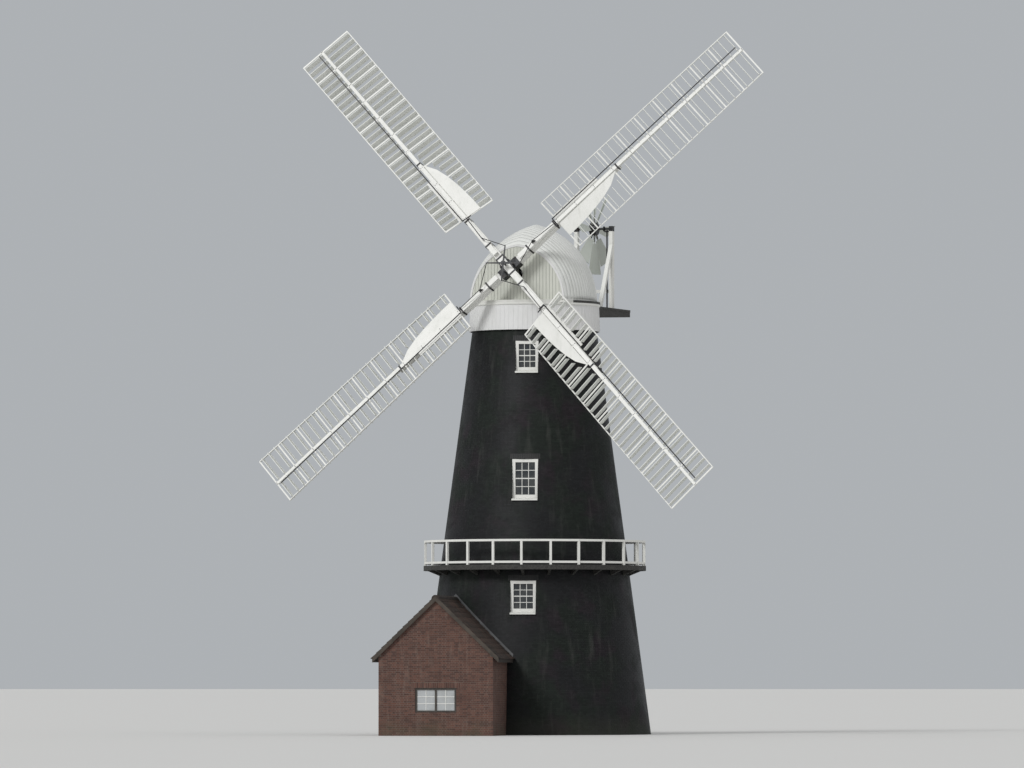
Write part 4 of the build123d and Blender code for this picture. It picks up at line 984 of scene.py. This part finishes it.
def buildShutters(number):
    bm = bmesh.new()
    slat, thick, clear = shutter["slat"], shutter["thick"], shutter["width"] - 2 * shutter["slat"]
    for row in range(3 * sail["bays"]):
        distance = sail["heel"] + shutterPitch * (row + 0.5)
        for side in (-1, 1):
            inner, outer = shutterSpan(distance, side)
            length = outer - inner
            place = sailPlace(number) @ clothPlace(distance) @ at(side * (inner + outer) / 2, 0, 0)
            place = place @ turned(shutter["open"], "X")
            for edge in (-1, 1):
                addBlock(bm, place @ at(0, edge * (shutter["width"] - slat) / 2, 0), (length, slat, thick))
                addBlock(bm, place @ at(edge * (length - slat) / 2, 0, 0), (slat, clear, thick))
            addBlock(bm, place, (length - 2 * slat, clear, shutter["cloth"]))
            addBlock(bm, place, (slat * shutter["rib"], clear, thick * shutter["rib"]))
    return finishPiece(f"framedShutters{number + 1}", bm, whiteShutter, "sails")


def addRound(bm, place, radius, height, segments=6, narrowing=0.85):
    bmesh.ops.create_cone(bm, cap_ends=True, segments=segments, radius1=radius, radius2=radius * narrowing,
                          depth=height, matrix=place)


def buildSailBolts():
    size = dict(bar=(0.018, 0.014), barOffset=0.25, barRise=0.006, strap=(0.022, 0.018), strapSide=0.055,
                strapRise=0.018, strapPlaces=(1.15, 2.65, 6.18), strapHalf=0.035)
    bm = bmesh.new()
    for number in range(4):
        here = sailPlace(number)
        for bar in range(sail["bays"] + 1):
            distance = sail["heel"] + (sail["tip"] - sail["heel"]) * bar / sail["bays"]
            width, depth = whipSize(distance)
            for offset in (-size["barOffset"], size["barOffset"]):
                addRound(bm, here @ at(offset * width, distance, depth + size["barRise"]), *size["bar"])
        for distance in size["strapPlaces"]:
            face = whipSize(distance - size["strapHalf"])[1] + size["strapRise"]
            for side in (-1, 1):
                addRound(bm, here @ at(side * size["strapSide"], distance, face), *size["strap"])
    finishPiece("sailBolts", bm, blackIron, "sails")


# Doors: where the frame's outer face stands, which way it looks, width and height
doorFrame, doorFace = 0.09, 0.02       # width of the frame, and depth of the planks' faces behind its own
doors = [((0, wallRadius(sill + height) - recess, sill), pi, (width, height))
         for (sill, width, height), recess in zip(mill["doors"], mill["doorRecess"])]
doors.append(((annexe["middle"] - annexe["width"] / 2 + annexe["doorRecess"], doorAlong, annexe["door"][0]),
              -pi / 2, annexe["door"][1:]))


def buildDoorPlanks():
    size = dict(plank=0.13, gap=0.006, thick=0.012, clear=0.004, bevel=0.003)
    bm = bmesh.new()
    for spot, turn, (width, height) in doors:
        leaf, high = width - 2 * doorFrame - 2 * size["clear"], height - doorFrame - 2 * size["clear"]
        count = round(leaf / size["plank"])
        door = at(*spot) @ turned(turn) @ at(0, doorFace + size["thick"] / 2, size["clear"] + high / 2)
        for number in range(count):
            plank = door @ at(leaf * ((number + 0.5) / count - 0.5), 0, 0)
            addBlock(bm, plank, (leaf / count - size["gap"], size["thick"], high), size["bevel"])
    finishPiece("doorPlanks", bm, darkPaint)


def buildDoorFittings():
    size = dict(strap=(0.70, 0.008, 0.05), strapMiddle=0.36, strapFoot=0.32, strapHead=0.42, bevel=0.002,
                bolt=(0.010, 0.008), boltOut=0.011, boltShares=(0.12, 0.36, 0.6), knuckle=(0.014, 0.09),
                knuckleOut=0.012, latch=(0.07, 0.010, 0.15), latchBevel=0.003, latchHeight=1.05,
                latchInset=0.09, latchOut=0.005, ring=0.055, ringOut=0.014, ringLink=(0.024, 0.014, 0.014),
                links=16)
    reach, thick, high = size["strap"]
    bm = bmesh.new()
    for spot, turn, (width, height) in doors:
        door = at(*spot) @ turned(turn)
        leaf = width - 2 * doorFrame
        for level in (size["strapFoot"], height - size["strapHead"]):
            strap = at(leaf * (size["strapMiddle"] - 0.5), doorFace - thick / 2, level)
            addBlock(bm, door @ strap, (reach * leaf, thick, high), size["bevel"])
            knuckle = at(size["knuckleOut"] - leaf / 2, doorFace - size["knuckleOut"], level)
            addRound(bm, door @ knuckle, *size["knuckle"], 12, 1)
            for share in size["boltShares"]:
                bolt = at(leaf * (share - 0.5), doorFace - size["boltOut"], level) @ turned(pi / 2, "X")
                addRound(bm, door @ bolt, *size["bolt"])
        latch = door @ at(leaf / 2 - size["latchInset"], doorFace - size["latchOut"], size["latchHeight"])
        addBlock(bm, latch, size["latch"], size["latchBevel"])
        for link in range(size["links"]):
            angle = 2 * pi * link / size["links"]
            place = at(size["ring"] * sin(angle), -size["ringOut"], size["ring"] * (cos(angle) - 1))
            addBlock(bm, latch @ place @ turned(angle, "Y"), size["ringLink"])
    finishPiece("doorFittings", bm, blackIron)


for build in (buildTowerBricks, buildAnnexeBricks, buildWindowBars, buildWindowArches, buildAnnexeWindow,
              buildAnnexeArches, buildVerges, buildFlashing, buildDoorPlanks, buildDoorFittings,
              buildPetticoatStrips, buildRoofBoards, buildBreastBoards, buildBargeBoards, buildSailBolts):
    build()
buildPantiles(-1, "pantilesLeft")
buildPantiles(1, "pantilesRight")
for number in range(4):
    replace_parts(buildShutters(number), f"shutters_{number + 1}")
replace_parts(buildRidgeTiles(), "annexe_ridge")
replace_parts(buildGalleryBoards(), "gallery_deck")
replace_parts(buildStageBoards(), "fan_stage")
print("the tower, gallery, annexe and cap have their small pieces")

# Floor, light and camera

stage = dict(floorRadius=1500.0, floorDrop=0.002, floor=(0.62, 0.62, 0.61), floorRough=0.9,
             sky=(0.42, 0.44, 0.46), skyLight=0.66, sunFrom=(-0.45, -0.80, 0.62), sun=1.5, sunSpread=16.0)
bm = bmesh.new()
bmesh.ops.create_circle(bm, cap_ends=True, segments=96, radius=stage["floorRadius"],
                        matrix=at(0, 0, -stage["floorDrop"]))
floorMesh = bpy.data.meshes.new("floor")
bm.to_mesh(floorMesh)
bm.free()
floorMesh.materials.append(newFinish("floorFinish").dress((*stage["floor"], 1.0), stage["floorRough"]))
floor = addObject("floor", floorMesh)

world = bpy.data.worlds.new("sky")
bpy.context.scene.world = world
world.use_nodes = True
w = wires(world.node_tree)
background = world.node_tree.nodes["Background"].inputs
rays = w.node("LightPath").outputs
seen = w.calc("MAXIMUM", rays["Is Glossy Ray"], rays["Is Transmission Ray"])
seen = w.calc("MAXIMUM", rays["Is Camera Ray"], seen)
w.feed(background["Color"], w.blend(seen, (1.0, 1.0, 1.0), stage["sky"]))
w.feed(background["Strength"], w.span(seen, 0.0, 1.0, stage["skyLight"], 1.0))

sun = bpy.data.lights.new("sun", "SUN")
sun.energy = stage["sun"]
sun.angle = radians(stage["sunSpread"])
addObject("sun", sun).rotation_euler = Vector(stage["sunFrom"]).to_track_quat("Z", "Y").to_euler()

# The camera stands where the photograph was taken from, on a longer lens, so the mill fills the frame
shot = dict(azimuth=radians(6.8), distance=320.0, height=2.3, aimHeight=14.7, aimRight=-0.95, lens=268.0,
            clip=(5.0, 4000.0))
camera = bpy.data.cameras.new("camera")
camera.lens = shot["lens"]
camera.clip_start, camera.clip_end = shot["clip"]
place = turned(shot["azimuth"]) @ Vector((0, -shot["distance"], shot["height"]))
aim = turned(shot["azimuth"]) @ Vector((shot["aimRight"], 0, shot["aimHeight"]))
standing = addObject("camera", camera)
standing.location = place
standing.rotation_euler = (aim - place).to_track_quat("-Z", "Y").to_euler()
bpy.context.scene.camera = standing
bpy.context.scene.view_settings.view_transform = "Standard"
print("the floor, light and camera are set")
